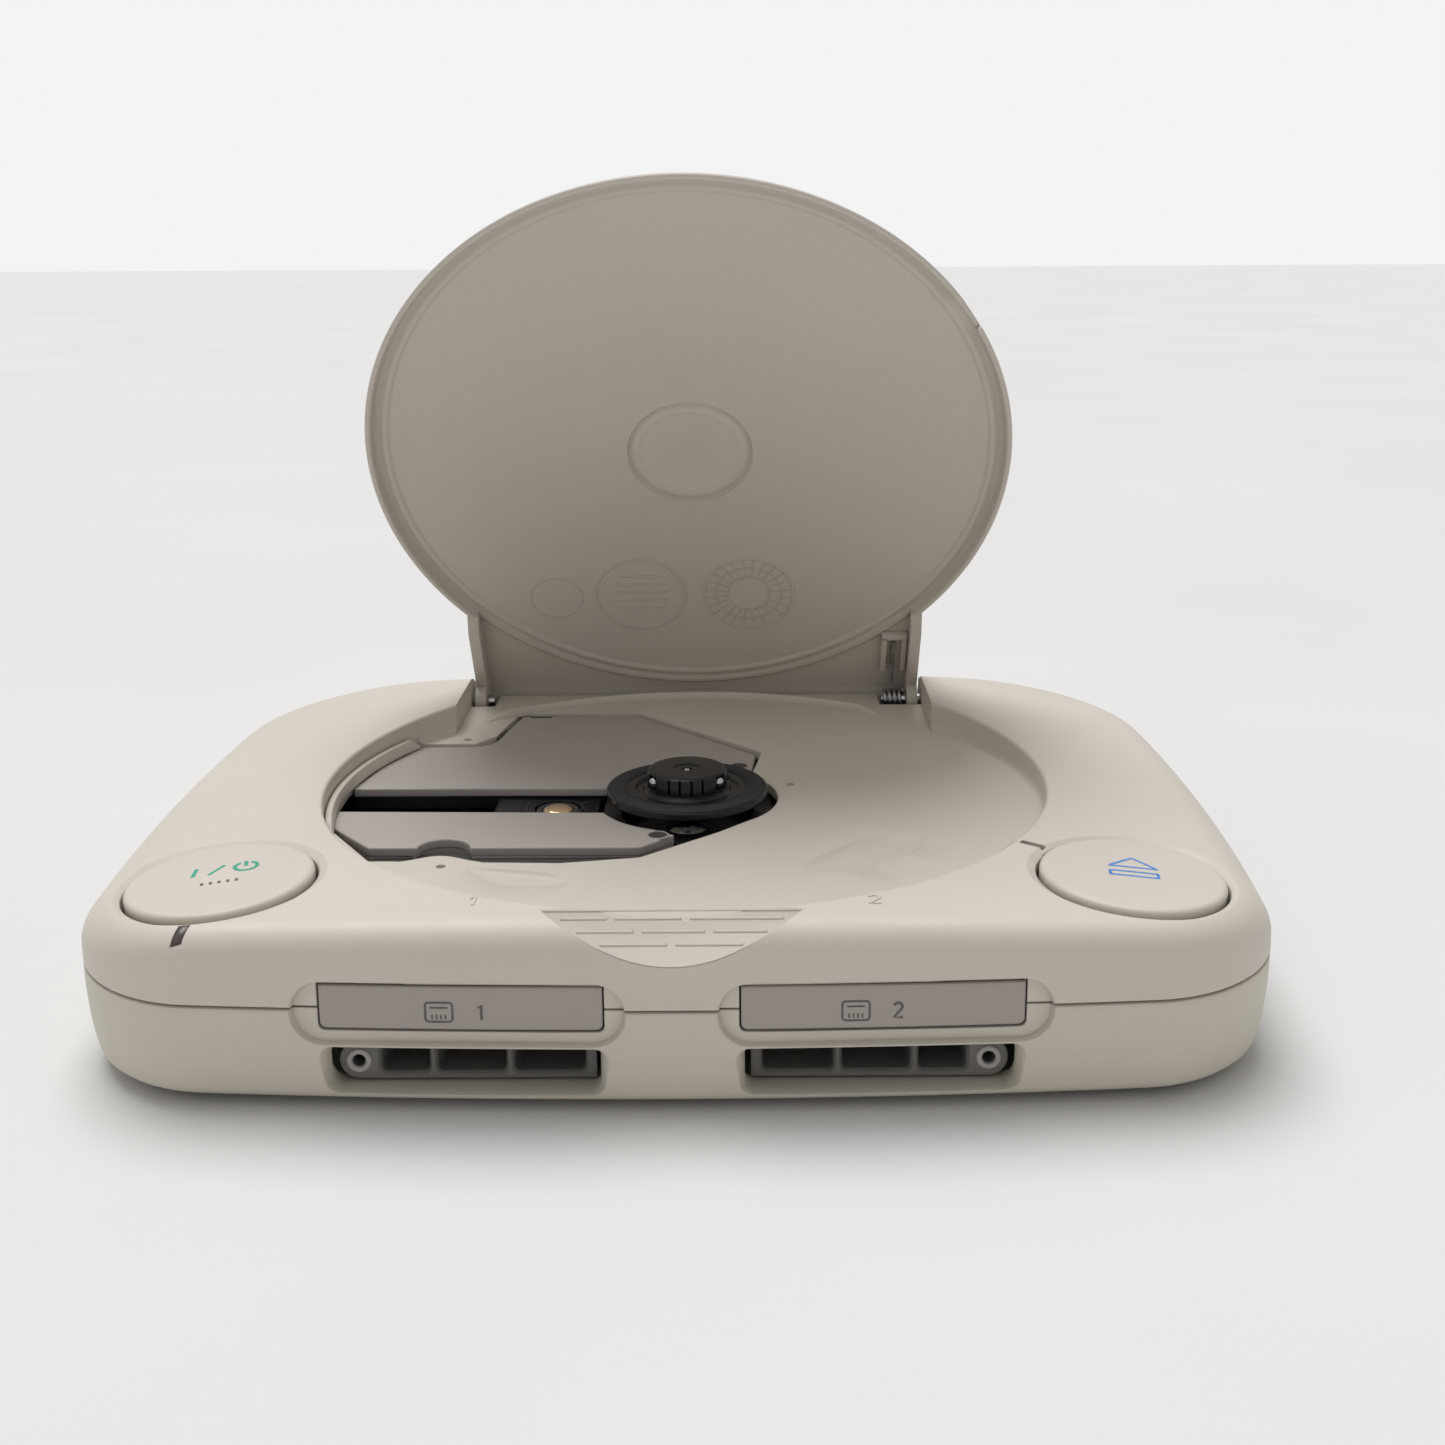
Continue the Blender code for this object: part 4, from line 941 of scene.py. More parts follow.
def build_lid():
    obj = rough_mesh("lid_skin", turned(lid_profile(), 176))
    top = Z_IN + LID_T
    arc_out = circle(HINGE_Y, HINGE_Z, BARREL_OUT, 21, 90.0, -118.0)
    arc_in = circle(HINGE_Y, HINGE_Z, BARREL_IN, 21, -28.0, 118.0)
    plate = tube([(30.0, Z_IN + 0.03), (30.0, top)] + arc_out + arc_in, "X", -NECK_HALF, NECK_HALF)
    cheek = [
        (CHEEK_FRONT_Y, Z_IN + 0.8), (CHEEK_FRONT_Y, SKIRT_Z + 0.2), (CHEEK_FRONT_Y + 4.0, CHEEK_Z),
        (HINGE_Y - 3.6, CHEEK_Z),
    ]
    cheek += circle(HINGE_Y, HINGE_Z, 3.9, 21, 200.0, 180.0) + [(HINGE_Y + 3.3, Z_IN + 0.8)]
    ears = [tube(cheek, "X", x, x + EAR_T) for x in (-NECK_HALF, NECK_HALF - EAR_T)]
    combine(obj, [plate] + ears, "UNION")
    half = NECK_HALF - EAR_T
    cuts = [box((-half, CHEEK_FRONT_Y - 1.0, 20.0), (half, 64.9, Z_IN - 0.45)), dish_cutter()]
    for x in (-NECK_HALF - 3.0, NECK_HALF - 5.0):
        cuts.append(tube(circle(HINGE_Y, HINGE_Z, 1.5, 24), "X", x, x + 8.0))
    notch = box((R_LID - 4.0, -3.4, 20.0), (R_LID + 3.0, 3.4, 28.6))
    cuts.append(placed(notch, LATCH_TURN))
    combine(obj, cuts)
    obj.data.transform(Matrix.Scale(1 / MM, 4))
    obj.data.transform(lid_open())
    obj.data.transform(Matrix.Scale(MM, 4))
    finish_piece(obj, "lid", "lid", 32.0, ("lid",))


def on_lid(shapes, name, look="lid", smooth=30.0, replaces=()):
    return piece(name, placed(joined(shapes), lid_open()), look, "lid", smooth, replaces)


def lid_raised(points, width, height, closed=False):
    """A moulded line standing out of the lid's inner face; plan coordinates with the lid shut."""
    return stroke(points, width, -height, 0.25, closed, lambda x, y: lid_face(math.hypot(x, y)))


def build_lid_marks():
    """Two moulded rings, one with plain lines and one with rows of cells, and a faint ejector mark."""
    marks = []
    for cx, cy in ((-11.7, 38.1), (11.8, 38.0)):
        marks.append(lid_raised(circle(cx, cy, 9.8, 72), 0.5, 0.16, True))
    cx, cy = 11.8, 38.0
    for r in (7.2, 4.6):
        marks.append(lid_raised(circle(cx, cy, r, 60), 0.28, 0.1, True))
    for k in range(24):
        a = 2 * math.pi * (k + 0.5) / 24
        for r0, r1 in ((4.6, 7.0), (7.4, 9.6)):
            line = [(cx + r * math.cos(a), cy + r * math.sin(a)) for r in (r0, r1)]
            marks.append(lid_raised(line, 0.22, 0.1))
    for k in range(5):
        y = 33.0 + 2.2 * k
        half = math.sqrt(max(0.0, 7.4 ** 2 - (y - 38.1) ** 2)) * 0.8
        marks.append(lid_raised([(-11.7 - half, y), (-11.7 + half, y)], 0.5, 0.08))
    marks.append(lid_raised(circle(-30.0, 38.8, 5.6, 48), 0.3, 0.06, True))
    on_lid(marks, "lid_moulded_rings")


def build_clip():
    """The U-shaped bracket on the neck that holds the spring's leg, and the leg itself."""
    z1 = Z_IN + 0.1
    z0 = Z_IN - 1.7
    arms = [
        box((41.3, 49.4, z0), (42.5, 59.8, z1)),
        box((45.8, 49.4, z0), (47.0, 59.8, z1)),
        box((41.3, 48.8, z0), (47.0, 50.2, z1)),
    ]
    obj = on_lid(arms, "spring_bracket", smooth=30.0, replaces=("lid_spring_clip",))
    mod = obj.modifiers.new("edges", "BEVEL")
    mod.width = 0.18 * MM
    mod.segments = 2
    path = [(44.0, y, Z_IN - down) for y, down in ((51.2, 0.8), (56.0, 0.8), (60.0, 1.0), (63.2, 2.0))]
    piece("spring_leg", placed(swept(path, 0.42, 10), lid_open()), "spring", "lid")


# ---------------------------------------------------------------- buttons and doors


def button_top(x, y):
    r = math.hypot(x, y) / (BTN_R - 1.0)
    return BTN_CROWN * (1 - r * r) if r < 1 else 0.0


def button_profile():
    flat = BTN_R - 1.0
    pts = [
        (0.0, -4.8), (2.2, -4.8), (2.2, -1.4), (BTN_R - 1.5, -1.4), (BTN_R - 1.5, -4.2),
        (BTN_R - 0.1, -4.2), (BTN_R, -4.0), (BTN_R, -0.85),
    ]
    for k in range(1, 6):
        a = math.pi / 2 * k / 5
        pts.append((BTN_R - 0.85 + 0.85 * math.cos(a), -0.85 + 0.85 * math.sin(a)))
    for r in (0.92, 0.7, 0.5, 0.3, 0.15):
        pts.append((flat * r, BTN_CROWN * (1 - r * r)))
    return pts + [(0.0, BTN_CROWN)]


def ink(points, width, closed=False):
    return stroke(points, width, -0.15, 0.035, closed, button_top)


def build_buttons():
    for side, name in ((-1, "power_button"), (1, "open_button")):
        shape = placed(turned(button_profile(), 112), button_matrix(side))
        piece(f"{name}_cap", shape, "button", name, 40.0, (name,))
    lean = 15.0

    def tilt(points):
        return turned_2d(points, lean)

    width = 0.62
    green = [
        ink(tilt([(-4.2, 1.3), (-3.7, 4.6)]), width),
        ink(tilt([(-1.8, 1.2), (0.6, 4.6)]), width * 0.85),
        ink(tilt(circle(3.9, 2.9, 1.75, 40, 118.0, 304.0)), width),
        ink(tilt([(3.9, 3.0), (3.9, 5.1)]), width),
    ]
    piece("power_symbols", placed(joined(green), button_matrix(-1)), "green_ink", "power_button")
    dial = [ink(tilt([(x, -2.9), (x, -1.9)]), 0.5) for x in (-2.6, -1.3, 0.0, 1.3, 2.6)]
    piece("power_marks", placed(joined(dial), button_matrix(-1)), "grey_ink", "power_button")
    turn = -9.0
    tri = turned_2d([(-3.7, 1.7), (3.9, 1.7), (0.1, 5.6)], turn)
    bar = turned_2d([(-3.6, -1.9), (3.8, -1.9), (3.8, -0.2), (-3.6, -0.2)], turn)
    blue = [ink(dense_loop(tri), 0.5, True), ink(dense_loop(bar), 0.5, True)]
    piece("open_symbols", placed(joined(blue), button_matrix(1)), "blue_ink", "open_button")


def dense_loop(points, steps=8):
    """The same closed outline with more points, so that it lies on a curved face."""
    out = []
    for k, a in enumerate(points):
        b = points[(k + 1) % len(points)]
        out += [
            (a[0] + (b[0] - a[0]) * t / steps, a[1] + (b[1] - a[1]) * t / steps)
            for t in range(steps)
        ]
    return out


def door_shape():
    """A curved flap with rounded lower corners and eased edges."""
    ends = [1.0 - math.cos(math.pi / 2 * k / 7) for k in range(8)]
    width = DOOR_X1 - DOOR_X0
    middle = [2.0 + (width - 4.0) * k / 20 for k in range(21)]
    offsets = ends + middle + [width - e for e in reversed(ends)]
    rings = []
    for offset in offsets:
        x = DOOR_X0 + offset
        near = min(offset, width - offset)
        lift = 1.0 - math.sqrt(max(0.0, 1.0 - (1.0 - min(near, 1.0)) ** 2))
        ease = 0.2 if near > 0.01 else 0.0
        y = front_y(x) + DOOR_INSET + (0.0 if near > 0.01 else 0.25)
        z0 = DOOR_Z0 + lift
        face, back = y + 0.2 - ease, y + DOOR_T
        rings.append([
            (x, y + 0.2, z0), (x, face, z0 + 0.2), (x, face, DOOR_Z1 - 0.2), (x, y + 0.2, DOOR_Z1),
            (x, back, DOOR_Z1), (x, back, z0),
        ])
    return loft(rings)


def door_mark(points, width, closed=False):
    """A printed line on a door; points are (x, z)."""
    verts, faces = stroke(points, width, 0.0, 0.05, closed)
    return [(x, front_y(x) + DOOR_INSET + 0.02 - h, z) for x, z, h in verts], faces


def digit_lines(number, cx, cz, h=2.3):
    w = h * 0.5
    if number == 1:
        return [[
            (cx - 0.35 * w, cz + 0.3 * h), (cx + 0.05 * w, cz + 0.5 * h),
            (cx + 0.05 * w, cz - 0.5 * h),
        ]]
    arc = circle(cx, cz + 0.24 * h, 0.26 * h, 12, 165.0, -190.0)
    return [arc + [(cx - 0.28 * h, cz - 0.5 * h), (cx + 0.3 * h, cz - 0.5 * h)]]


def build_doors():
    for side, word, number in ((-1, "left", 1), (1, "right", 2)):
        shape = door_shape()
        if side < 0:
            shape = mirrored(shape)
        piece(
            f"card_door_{word}_flap", shape, "door", f"door_{word}", 30.0,
            (f"card_door_{word}",),
        )
        cx = side * 30.5
        cz = 16.6
        card = racetrack(cx - 5.6, cx - 1.6, cz - 1.5, cz + 1.5, 0.5, 4)
        marks = [
            door_mark(card, 0.34, True), door_mark([(cx - 4.9, cz + 0.7), (cx - 2.3, cz + 0.7)], 0.3),
        ]
        marks += [
            door_mark([(cx - 4.6 + 0.65 * k, cz - 1.1), (cx - 4.6 + 0.65 * k, cz - 0.4)], 0.26)
            for k in range(4)
        ]
        marks += [door_mark(line, 0.42) for line in digit_lines(number, cx + 2.6, cz)]
        piece(f"card_mark_{word}", joined(marks), "mark_ink", f"door_{word}")


def on_panel(shape):
    """From distances across, down and out of the thumb panel to the case's coordinates."""
    verts, faces = shape
    out = []
    for x, y, h in verts:
        out.append(tuple(PANEL_TOP + Vector((x, 0, 0)) + PANEL_DOWN * y + PANEL_OUT * h))
    return out, faces


def build_deck_marks():
    """Raised figures behind the thumb panel and plain raised lines on it."""
    marks = []
    for number, x in ((1, -29.9), (2, 30.2)):
        for line in digit_lines(number, x, -61.6, 3.0):
            marks.append(stroke(line, 0.5, -0.2, 0.1, False, deck))
    piece("deck_figures", joined(marks), "case", "case")
    lines = []
    for row, (half, breaks) in enumerate(((16.5, (-9.0, 2.0)), (14.0, (-5.0, 5.5)), (10.5, (0.0,)))):
        v = 1.6 + 2.0 * row
        edges = [-half] + [b + d for b in breaks for d in (-0.6, 0.6)] + [half]
        for a, b in zip(edges[::2], edges[1::2]):
            lines.append(on_panel(stroke([(a, v), (b, v)], 0.4, -0.15, 0.06)))
    lines.append(on_panel(stroke([(-19.4, 0.35), (19.4, 0.35)], 0.3, -0.1, 0.08)))
    piece("panel_lines", joined(lines), "case", "case")


# ---------------------------------------------------------------- ports and sockets


def build_ports():
    for side, word in ((-1, "left"), (1, "right")):
        def s(shape):
            return mirrored(shape) if side < 0 else shape

        outer = circle(LUG_X - 0.2, 7.1, 3.1, 15, -90.0, 180.0)
        body = [(PORT_X0 + 0.9, 4.0)] + outer + [(PORT_X0 + 0.9, 10.2)]
        obj = rough_mesh(f"port_{word}_housing", s(tube(body, "Y", -66.4, -49.5)))
        cuts = []
        for x0, x1 in PORT_CELLS:
            inner = racetrack(x0, x1, 5.0, 9.8, 0.8, 5)
            wide = racetrack(x0 - 0.4, x1 + 0.4, 4.6, 10.2, 1.1, 5)
            cuts.append(s(tube(inner, "Y", -70.0, -57.0)))
            flare = ((wide, -67.0), (wide, -66.4), (inner, -65.8), (inner, -64.0))
            cuts.append(s(loft([[(x, y, z) for x, z in ring] for ring, y in flare])))
        cuts.append(s(tube(circle(LUG_X, LUG_Z, 0.95, 24), "Y", -70.0, -62.0)))
        cuts.append(s(box((12.4, -57.2, 6.9), (44.6, -55.0, 7.9))))
        combine(obj, cuts)
        finish_piece(obj, "port", "case", 30.0, (f"port_{word}",))
        ring = [(1.0, 64.8), (1.9, 64.8), (1.9, 66.5), (1.7, 66.7), (1.15, 66.7), (1.0, 66.5)]
        lying = Matrix.Rotation(math.radians(90), 4, "X")
        facing = Matrix.Translation((side * LUG_X, 0.0, LUG_Z)) @ lying
        piece(f"port_{word}_lug", placed(turned(ring, 40), facing), "lug", "case", 40.0)
        pins = [s(box((12.8, -56.6, 7.2), (44.2, -55.4, 7.6)))]
        for x in (15.0, 18.5, 22.0, 27.0, 30.3, 33.6, 38.0, 40.2, 42.4):
            pins.append(s(swept([(x, -60.6, 7.4), (x, -60.2, 7.4), (x, -56.2, 7.4)], 0.42, 12)))
        piece(
            f"port_{word}_pins", joined(pins), "brass", "case", 40.0,
            (f"port_contacts_{word}",),
        )


def build_rear():
    frame_out = racetrack(-14.0, 12.0, 5.2, 13.4, 1.0, 5)
    frame_in = racetrack(-12.8, 10.8, 6.4, 12.2, 0.6, 5)
    lip_out = racetrack(-13.8, 11.8, 5.4, 13.2, 0.9, 5)
    lip_in = racetrack(-13.0, 11.0, 6.2, 12.4, 0.7, 5)
    section = (
        (frame_out, 58.0), (frame_out, 70.0), (lip_out, 70.2), (lip_in, 70.2), (frame_in, 70.0),
        (frame_in, 60.0),
    )
    shape = loft([[(x, y, z) for x, z in ring] for ring, y in section])
    piece("video_socket_shell", shape, "black", "case", 30.0, ("av_socket",))
    blade = [box((-11.0, 60.0, 8.9), (9.0, 67.5, 9.7))]
    piece("video_socket_tongue", joined(blade), "dark", "case", bevel=0.15)
    pads = [box((-10.4 + 1.6 * k, 60.5, 9.68), (-9.6 + 1.6 * k, 67.0, 9.78)) for k in range(12)]
    piece("video_socket_contacts", joined(pads), "brass", "case")
    rings = [
        (3.9, 58.0), (3.9, 69.8), (3.7, 70.0), (3.1, 70.0), (2.9, 69.7), (2.9, 60.0), (0.5, 60.0),
        (0.5, 58.0),
    ]
    turn = Matrix.Translation((INLET_X, 0.0, INLET_Z)) @ Matrix.Rotation(math.radians(-90), 4, "X")
    piece(
        "power_inlet_barrel", placed(turned(rings, 56), turn), "black", "case", 40.0,
        ("power_inlet",),
    )
    pin = [(0.0, 60.3), (0.8, 60.3), (0.8, 68.0), (0.6, 68.4), (0.0, 68.5)]
    piece(
        "power_inlet_pin", placed(turned(pin, 24), turn), "steel", "case", 40.0,
        ("inlet_pin",),
    )


# ---------------------------------------------------------------- drive


def build_covers():
    back = [(-64.2, SLOT_Y1), (-40.0, SLOT_Y1)] + circle(0.0, 0.0, COVER_HUB_R, 25, 112.0, 44.0)[::-1]
    back += [(12.0, 14.0), (13.0, 26.4), (-12.6, 54.4), (-38.0, 54.4), (-40.8, 38.2)]
    back += circle(-46.0, 38.2, 5.2, 6, -10.0, -75.0)[1:] + [(-56.0, 33.0), (-61.6, 19.6)]
    piece(
        "drive_cover_back_plate", prism(back, COVER_Z0, COVER_Z1), "cover", "case",
        replaces=("drive_cover_back",), bevel=0.35,
    )
    front = [(-64.2, SLOT_Y0), (-63.6, -13.2), (-54.4, -23.9), (-47.0, -23.9)]
    front += circle(*COVER_DIP, 4.6, 17, 175.0, -170.0)
    front += [(-14.3, -24.1), (-7.4, -24.1), (-1.6, -18.4)]
    front += circle(0.0, 0.0, COVER_HUB_R, 17, 204.0, 46.0)[::-1]
    piece(
        "drive_cover_front_plate", prism(front, COVER_Z0, COVER_Z1), "cover", "case",
        replaces=("drive_cover_front",), bevel=0.35,
    )


def build_cover_details():
    """The screw ears' rims, each round a flat dark disc that is painted shade for its pit, flat dark
    strips that are painted shade for the slots at the back, and the front cover's skirt.
    """
    z = COVER_Z1
    pit = [(0.0, z - 0.35), (1.6, z - 0.35), (1.7, z + 0.02), (0.0, z + 0.02)]
    rim = [(1.65, z - 0.1), (1.65, z + 0.12), (1.85, z + 0.16), (2.15, z - 0.1)]
    pit_shades = [turned(pit, 32, x, y) for x, y in COVER_EARS]
    rims = [turned(rim, 40, x, y) for x, y in COVER_EARS]
    # Painted shade: flat dark discs stand in for the shade down each screw pit.
    piece("cover_screw_pit_shade", joined(pit_shades), "dark", "case")
    piece("cover_screw_rims", joined(rims), "cover", "case")
    # Painted shade: flat dark strips on the cover stand in for the shade inside its slots.
    dark = [
        box((-41.1, 38.6, z - 0.2), (-40.3, 49.4, z + 0.03)),
        box((-36.2, 53.2, z - 0.2), (-31.4, 54.2, z + 0.03)),
    ]
    piece("cover_slot_shade", joined(dark), "dark", "case")
    skirt = [(-63.4, -13.5), (-54.3, -23.7), (-47.2, -23.7)] + circle(*COVER_DIP, 4.8, 17, 175.0, -170.0)
    skirt += [(-14.3, -23.9), (-7.5, -23.9), (-1.9, -18.5), (-1.9, -17.6), (-8.0, -22.9), (-14.6, -22.9)]
    skirt += circle(*COVER_DIP, 5.8, 17, 175.0, -160.0)[::-1]
    skirt += [(-47.6, -22.7), (-53.9, -22.7), (-62.4, -13.2)]
    piece("cover_front_skirt", prism(skirt, COVER_Z0 - 2.0, COVER_Z0 + 0.1), "cover", "case")


def build_hub():
    z = PLATTER_Z
    profile = [
        (0.9, 20.4), (3.0, 20.4), (3.0, z - 1.6), (PLATTER_R - 0.3, z - 1.6), (PLATTER_R, z - 1.3),
        (PLATTER_R, z - 0.25), (PLATTER_R - 0.25, z),
    ]
    profile += [
        (11.4, z), (11.2, z - 0.25), (10.9, z - 0.25), (10.7, z), (9.7, z), (9.5, z - 0.5),
        (8.2, z - 0.5), (7.9, z - 0.1), (7.45, z),
    ]
    profile += [
        (7.4, z + 0.4), (7.4, z + 3.0), (7.3, z + 3.25), (7.1, z + 3.45), (6.8, z + HUB_TOP - 0.03),
        (6.5, z + HUB_TOP),
    ]
    profile += [
        (2.6, z + HUB_TOP), (2.4, z + HUB_TOP - 0.25), (1.3, z + HUB_TOP - 0.25),
        (0.9, z + HUB_TOP - 0.25),
    ]
    obj = rough_mesh("turntable_hub", turned(profile, 120))
    cuts = []
    for k in range(3):
        a = math.radians(BALL_START + 120.0 * k)
        cuts.append(placed(box((5.0, -1.45, z + 0.6), (9.0, 1.45, z + 3.2)), Matrix.Rotation(a, 4, "Z")))
        for d in (-25.0, -8.5, 8.5, 25.0):
            petal = box((6.3, -0.2, z + 0.3), (9.0, 0.2, z + 3.3))
            cuts.append(placed(petal, Matrix.Rotation(a + math.radians(60.0 + d), 4, "Z")))
    combine(obj, cuts)
    finish_piece(obj, "gloss", "turntable", 30.0, ("turntable",))
    for k, letter in enumerate("abc"):
        a = math.radians(BALL_START + 120.0 * k)
        bow = [math.pi * t / 20 for t in range(21)]
        half = [(BALL_R * math.sin(t) + 0.001, z + 1.9 - BALL_R * math.cos(t)) for t in bow]
        ball = turned(half, 36, BALL_ORBIT * math.cos(a), BALL_ORBIT * math.sin(a))
        piece(
            f"hub_ball_{letter}_steel", ball, "steel", f"ball_{letter}", 60.0,
            (f"hub_ball_{letter}",),
        )
    tip = z + HUB_TOP - 0.2
    pin = [(0.0, 18.4), (0.6, 18.4), (0.6, tip - 0.25), (0.45, tip - 0.05), (0.0, tip)]
    piece("spindle_tip", turned(pin, 28), "steel", "turntable", 40.0, ("spindle_pin",))
    mat_ring = [
        (11.6, z - 0.05), (11.6, z + 0.06), (11.8, z + 0.1), (14.4, z + 0.1), (14.6, z + 0.06),
        (14.6, z - 0.05),
    ]
    piece("platter_rubber_ring", turned(mat_ring, 120), "rubber", "turntable")


def build_sled():
    top = SLED_TOP
    plate = racetrack(SLED_X0 + 0.4, SLED_X1 - 0.4, SLOT_Y0 + 0.7, SLOT_Y1 - 0.7, 0.8, 5)
    obj = rough_mesh("pickup_carriage_top", prism(plate, 19.7, top))
    hole = [(0.0, 19.0), (4.5, 19.0), (4.5, top - 0.5), (4.9, top + 0.4), (0.0, top + 0.4)]
    cuts = [turned(hole, 56, LENS_X, LENS_Y)]
    cuts.append(box((-35.6, SLOT_Y0 + 1.4, top - 0.4), (-31.4, SLOT_Y1 - 1.4, top + 1.0)))
    cuts.append(box((-30.8, -3.6, top - 0.35), (-29.9, 5.2, top + 1.0)))
    combine(obj, cuts)
    finish_piece(obj, "gloss", "sled", 30.0)
    marks = [
        box((-34.9 + 1.1 * k, -1.2, top - 0.42), (-34.3 + 1.1 * k, 1.6, top - 0.36))
        for k in range(3)
    ]
    piece("carriage_print", joined(marks), "tin", "sled")
    holder = [(0.0, 20.0), (4.1, 20.0), (4.1, 21.7), (3.9, 21.95), (3.1, 22.0), (2.95, 21.7), (0.0, 21.7)]
    piece("lens_holder", turned(holder, 48, LENS_X, LENS_Y), "dark", "lens", 30.0, ("lens",))
    dome = [(0.0, 21.4), (LENS_R, 21.4)]
    for k in range(10):
        a = math.pi / 2 * k / 10
        dome.append((LENS_R * math.cos(a), 21.75 + 1.05 * math.sin(a)))
    dome.append((0.0, 22.8))
    piece("pickup_lens_dome", turned(dome, 48, LENS_X, LENS_Y), "glass", "lens", 60.0)
    coils = []
    for dy in (-3.3, 3.3):
        middle = LENS_Y + dy
        loop = racetrack(LENS_X - 1.5, LENS_X + 1.5, middle - 0.45, middle + 0.45, 0.4, 4)
        for k in range(5):
            z = 20.1 + 0.2 * k
            coils.append(swept([(x, y, z) for x, y in loop], 0.1, 6, True))
    piece("focus_coils", joined(coils), "copper", "lens")
    pan = [(3.7, 18.1), (12.3, 18.1), (12.3, 18.6), (11.9, 18.8), (4.1, 18.8), (3.7, 18.6)]
    piece("spindle_motor_pan", turned(pan, 64), "black", "case", 30.0)
    wall = box((-64.0, SLOT_Y1 + 0.4, 19.9), (-16.0, SLOT_Y1 + 1.0, COVER_Z0))
    piece("drive_slot_wall", wall, "black", "case")
    for name, y, z in (("guide_rod_a", -8.4, 17.0), ("guide_rod_b", 10.0, 16.2)):
        piece(
            f"{name}_shaft", tube(circle(y, z, 1.05, 32), "X", -70.9, -15.9), "steel", "case",
            40.0, (name,),
        )


# ---------------------------------------------------------------- small parts


def helix(r, low, high, turns, steps, start=0.0):
    """Points of a coil round the Z axis."""
    count = int(turns * steps)
    out = []
    for k in range(count + 1):
        a = math.radians(start) + 2 * math.pi * k / steps
        out.append((r * math.cos(a), r * math.sin(a), low + (high - low) * k / count))
    return out


def build_small():
    """Feet, screws, hinge pins, springs and the latch hook."""
    for k, (x, y) in enumerate(FEET):
        profile = [(0.0, 0.0), (4.9, 0.0), (5.4, 0.12), (5.85, 0.55), (6.0, 0.9), (6.0, 1.6), (0.0, 1.6)]
        piece(
            f"foot_{k + 1}_pad", turned(profile, 56, x, y), "rubber", "case", 40.0,
            (f"foot_{k + 1}",),
        )
    for k, (x, y) in enumerate(SCREWS):
        profile = [
            (0.0, 3.6), (2.0, 3.6), (2.6, 3.9), (2.8, 4.4), (2.8, 5.7), (1.4, 5.7), (1.4, 14.5),
            (0.0, 15.3),
        ]
        obj = rough_mesh(f"case_screw_{k + 1}_steel", turned(profile, 36, x, y))
        cross = [
            box((x - 1.6, y - 0.3, 3.0), (x + 1.6, y + 0.3, 4.6)),
            box((x - 0.3, y - 1.6, 3.0), (x + 0.3, y + 1.6, 4.6)),
        ]
        combine(obj, cross)
        finish_piece(obj, "steel", "case", 35.0, (f"case_screw_{k + 1}",))
    for word, x0, x1 in (("left", -52.6, -45.6), ("right", 41.6, 52.6)):
        profile = [(0.0, x0), (1.0, x0), (1.2, x0 + 0.2), (1.2, x1 - 0.2), (1.0, x1), (0.0, x1)]
        turn = Matrix.Translation((0.0, HINGE_Y, HINGE_Z)) @ Matrix.Rotation(math.radians(90), 4, "Y")
        piece(
            f"hinge_pin_{word}_steel", placed(turned(profile, 28), turn), "steel", "case",
            40.0, (f"hinge_pin_{word}",),
        )
    path = [(z, HINGE_Y + x, HINGE_Z + y) for x, y, z in helix(2.1, 42.2, 46.6, 4, 28, 90.0)]
    piece("lid_spring_coil", swept(path, 0.42, 12), "spring", "case", 60.0, ("lid_spring",))
    for word, side in (("power", -1), ("open", 1)):
        path = [(side * BTN_X + x, BTN_Y + y, z) for x, y, z in helix(3.8, 22.9, 25.3, 4.5, 24)]
        piece(
            f"{word}_spring_coil", swept(path, 0.3, 8), "spring", "case", 60.0,
            (f"{word}_spring",),
        )
    rings = []
    for x, half, z0, z1 in ((-2.0, 2.1, 27.0, 27.5), (-1.2, 2.2, 26.6, 28.4), (4.4, 2.2, 26.6, 28.4)):
        rings.append([(R_WELL + x, y, z) for y, z in ((-half, z0), (half, z0), (half, z1), (-half, z1))])
    piece("latch_hook", placed(loft(rings), LATCH_TURN), "lug", "latch", 30.0, ("latch",))


def dress_frame():
    """Procedural looks for the frame's own pieces that stay in view or inside."""
    for entry in frame["record"]["subparts"]:
        obj = frame["nodes"][entry["node"]]
        obj.data.materials.clear()
        slot = entry["material_slot"]
        obj.data.materials.append(LOOKS["lamp" if slot == "lens_green" else slot])


# ---------------------------------------------------------------- stage


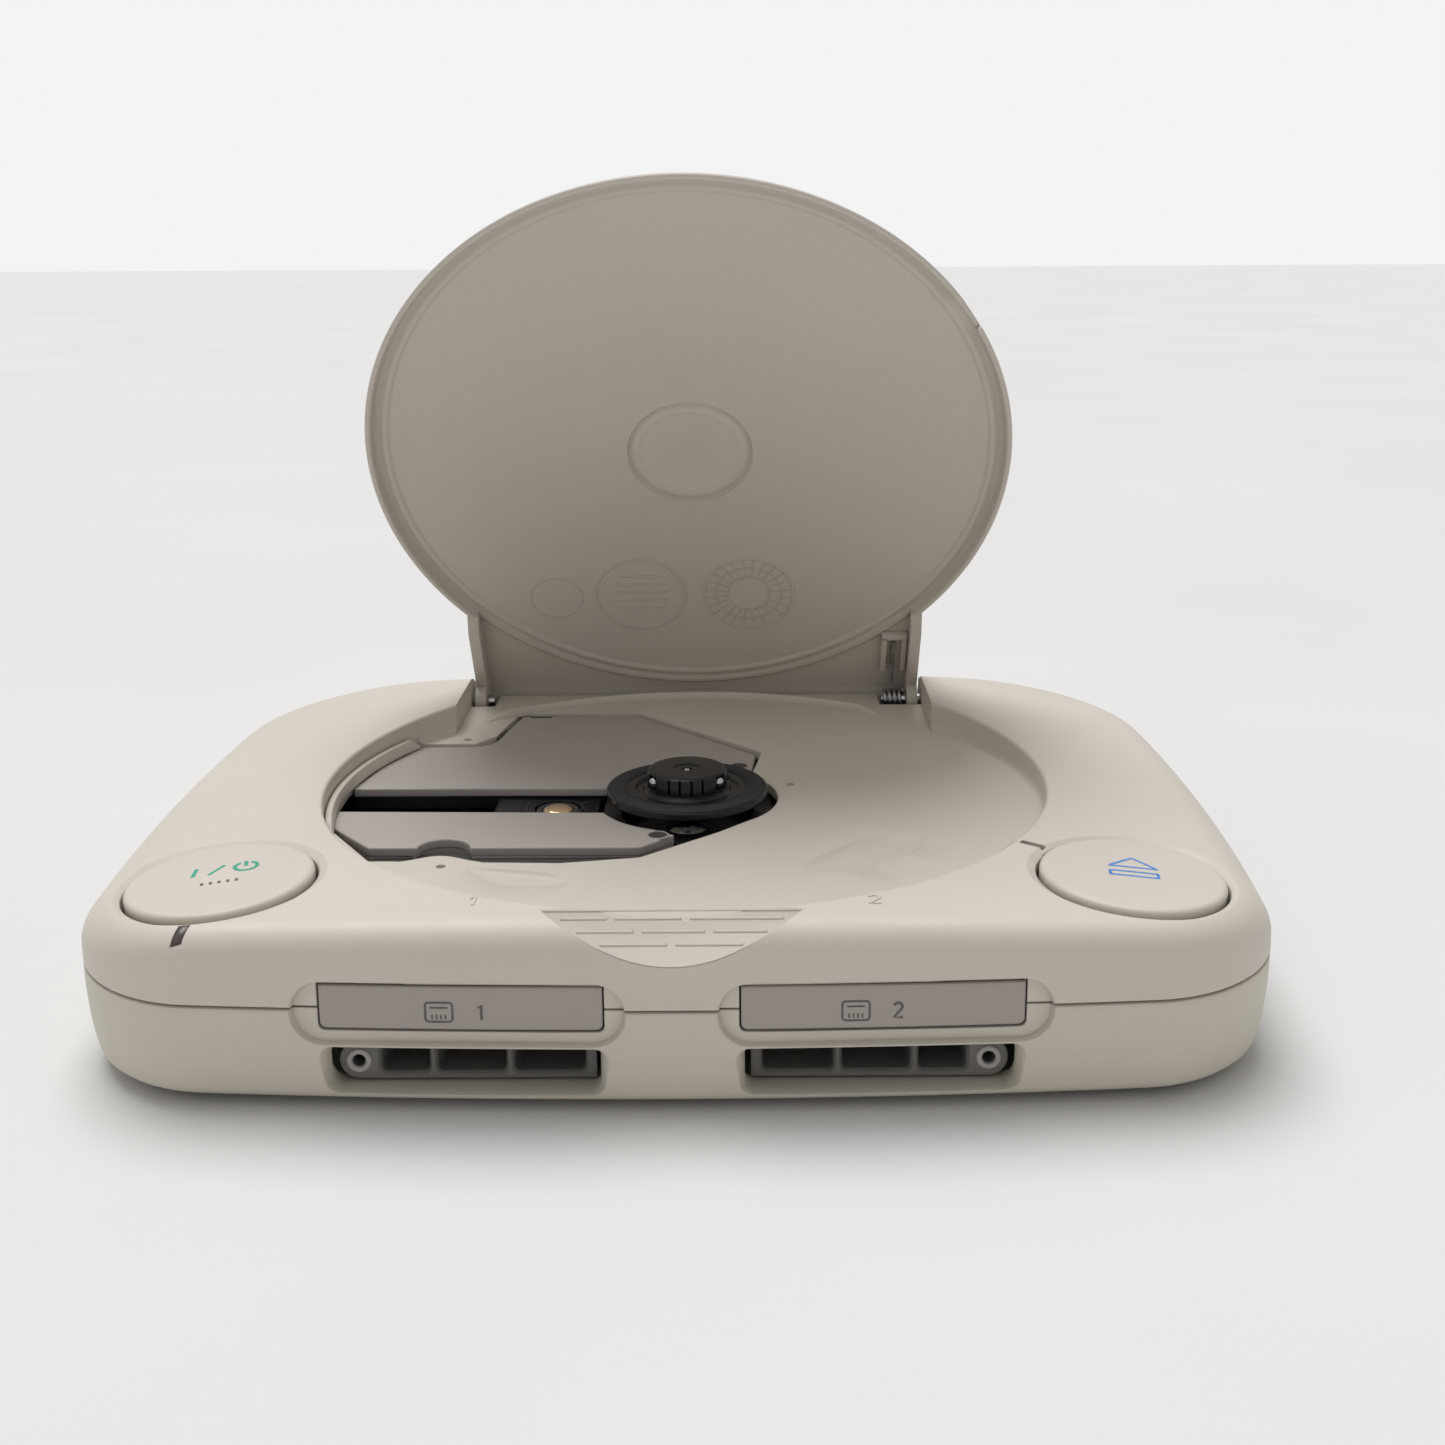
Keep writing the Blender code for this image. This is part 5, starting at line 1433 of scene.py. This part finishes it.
def build_stage():
    floor_mat, tree, bsdf = shader_nodes("floor_paper", 0.7, spec=0.2)
    tone = noise(tree, 6.0, 3.0)
    pale = ramp(tree, tone.outputs["Fac"], ((0.3, (0.74, 0.735, 0.73)), (0.7, (0.77, 0.765, 0.76))))
    tree.links.new(pale.outputs["Color"], bsdf.inputs["Base Color"])
    half = 6.0
    mesh = bpy.data.meshes.new("floor")
    mesh.from_pydata(
        [(-half, -half, 0), (half, -half, 0), (half, half, 0), (-half, half, 0)], [], [(0, 1, 2, 3)],
    )
    mesh.materials.append(floor_mat)
    linked("floor", mesh)
    world = bpy.data.worlds.new("studio")
    bpy.context.scene.world = world
    world.use_nodes = True
    sky = world.node_tree
    sky.nodes["Background"].inputs["Color"].default_value = (1.0, 0.99, 0.975, 1.0)
    sky.nodes["Background"].inputs["Strength"].default_value = 0.4
    backdrop = node(sky, "ShaderNodeBackground", Color=(1.0, 1.0, 1.0, 1.0), Strength=0.9)
    seen = sky.nodes.new("ShaderNodeLightPath")
    blend = sky.nodes.new("ShaderNodeMixShader")
    sky.links.new(seen.outputs["Is Camera Ray"], blend.inputs[0])
    sky.links.new(sky.nodes["Background"].outputs[0], blend.inputs[1])
    sky.links.new(backdrop.outputs[0], blend.inputs[2])
    sky.links.new(blend.outputs[0], sky.nodes["World Output"].inputs[0])
    suns = (("key", -17.0, -9.0, 42.0, 2.15), ("soft", 20.0, -20.0, 80.0, 0.15))
    for name, tilt_x, tilt_y, width, strength in suns:
        lamp = bpy.data.lights.new(name, "SUN")
        lamp.energy = strength
        lamp.angle = math.radians(width)
        linked(name, lamp).rotation_euler = (math.radians(tilt_x), math.radians(tilt_y), 0.0)
    bpy.context.scene.view_settings.view_transform = "Standard"


def build_camera():
    """The photograph's viewpoint: low, a little above the deck, in front of the middle."""
    place = Vector((11.01, -292.1, 128.0)) * MM
    yaw, pitch, roll = -0.0002156, 0.1983, -0.005448
    forward = Vector((math.sin(yaw) * math.cos(pitch), math.cos(yaw) * math.cos(pitch), -math.sin(pitch)))
    right = Vector((math.cos(yaw), -math.sin(yaw), 0.0))
    up = right.cross(forward)
    side = right * math.cos(roll) + up * math.sin(roll)
    head = up * math.cos(roll) - right * math.sin(roll)
    camera = bpy.data.cameras.new("camera")
    camera.lens = 40.8
    camera.sensor_width = 36.0
    camera.shift_x = -0.0152
    camera.shift_y = -0.1107
    camera.clip_start = 0.01
    obj = linked("camera", camera)
    turn = Matrix((side, head, -forward)).transposed()
    obj.matrix_world = Matrix.Translation(place) @ turn.to_4x4()
    bpy.context.scene.camera = obj


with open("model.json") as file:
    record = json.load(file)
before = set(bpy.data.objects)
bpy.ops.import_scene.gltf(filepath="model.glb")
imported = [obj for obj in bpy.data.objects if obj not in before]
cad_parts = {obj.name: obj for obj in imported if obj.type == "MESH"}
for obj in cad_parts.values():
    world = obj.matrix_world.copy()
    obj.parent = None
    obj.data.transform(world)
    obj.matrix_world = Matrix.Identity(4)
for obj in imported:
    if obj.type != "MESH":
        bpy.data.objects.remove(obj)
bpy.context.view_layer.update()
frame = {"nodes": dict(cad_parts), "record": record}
build_camera()
build_stage()
LOOKS = make_materials()
dress_frame()
build_top_shell()
build_floor_details()
build_bottom_shell()
build_lamp()
build_lid()
build_lid_marks()
build_clip()
build_buttons()
build_doors()
build_deck_marks()
build_ports()
build_rear()
build_covers()
build_cover_details()
build_hub()
build_sled()
build_small()
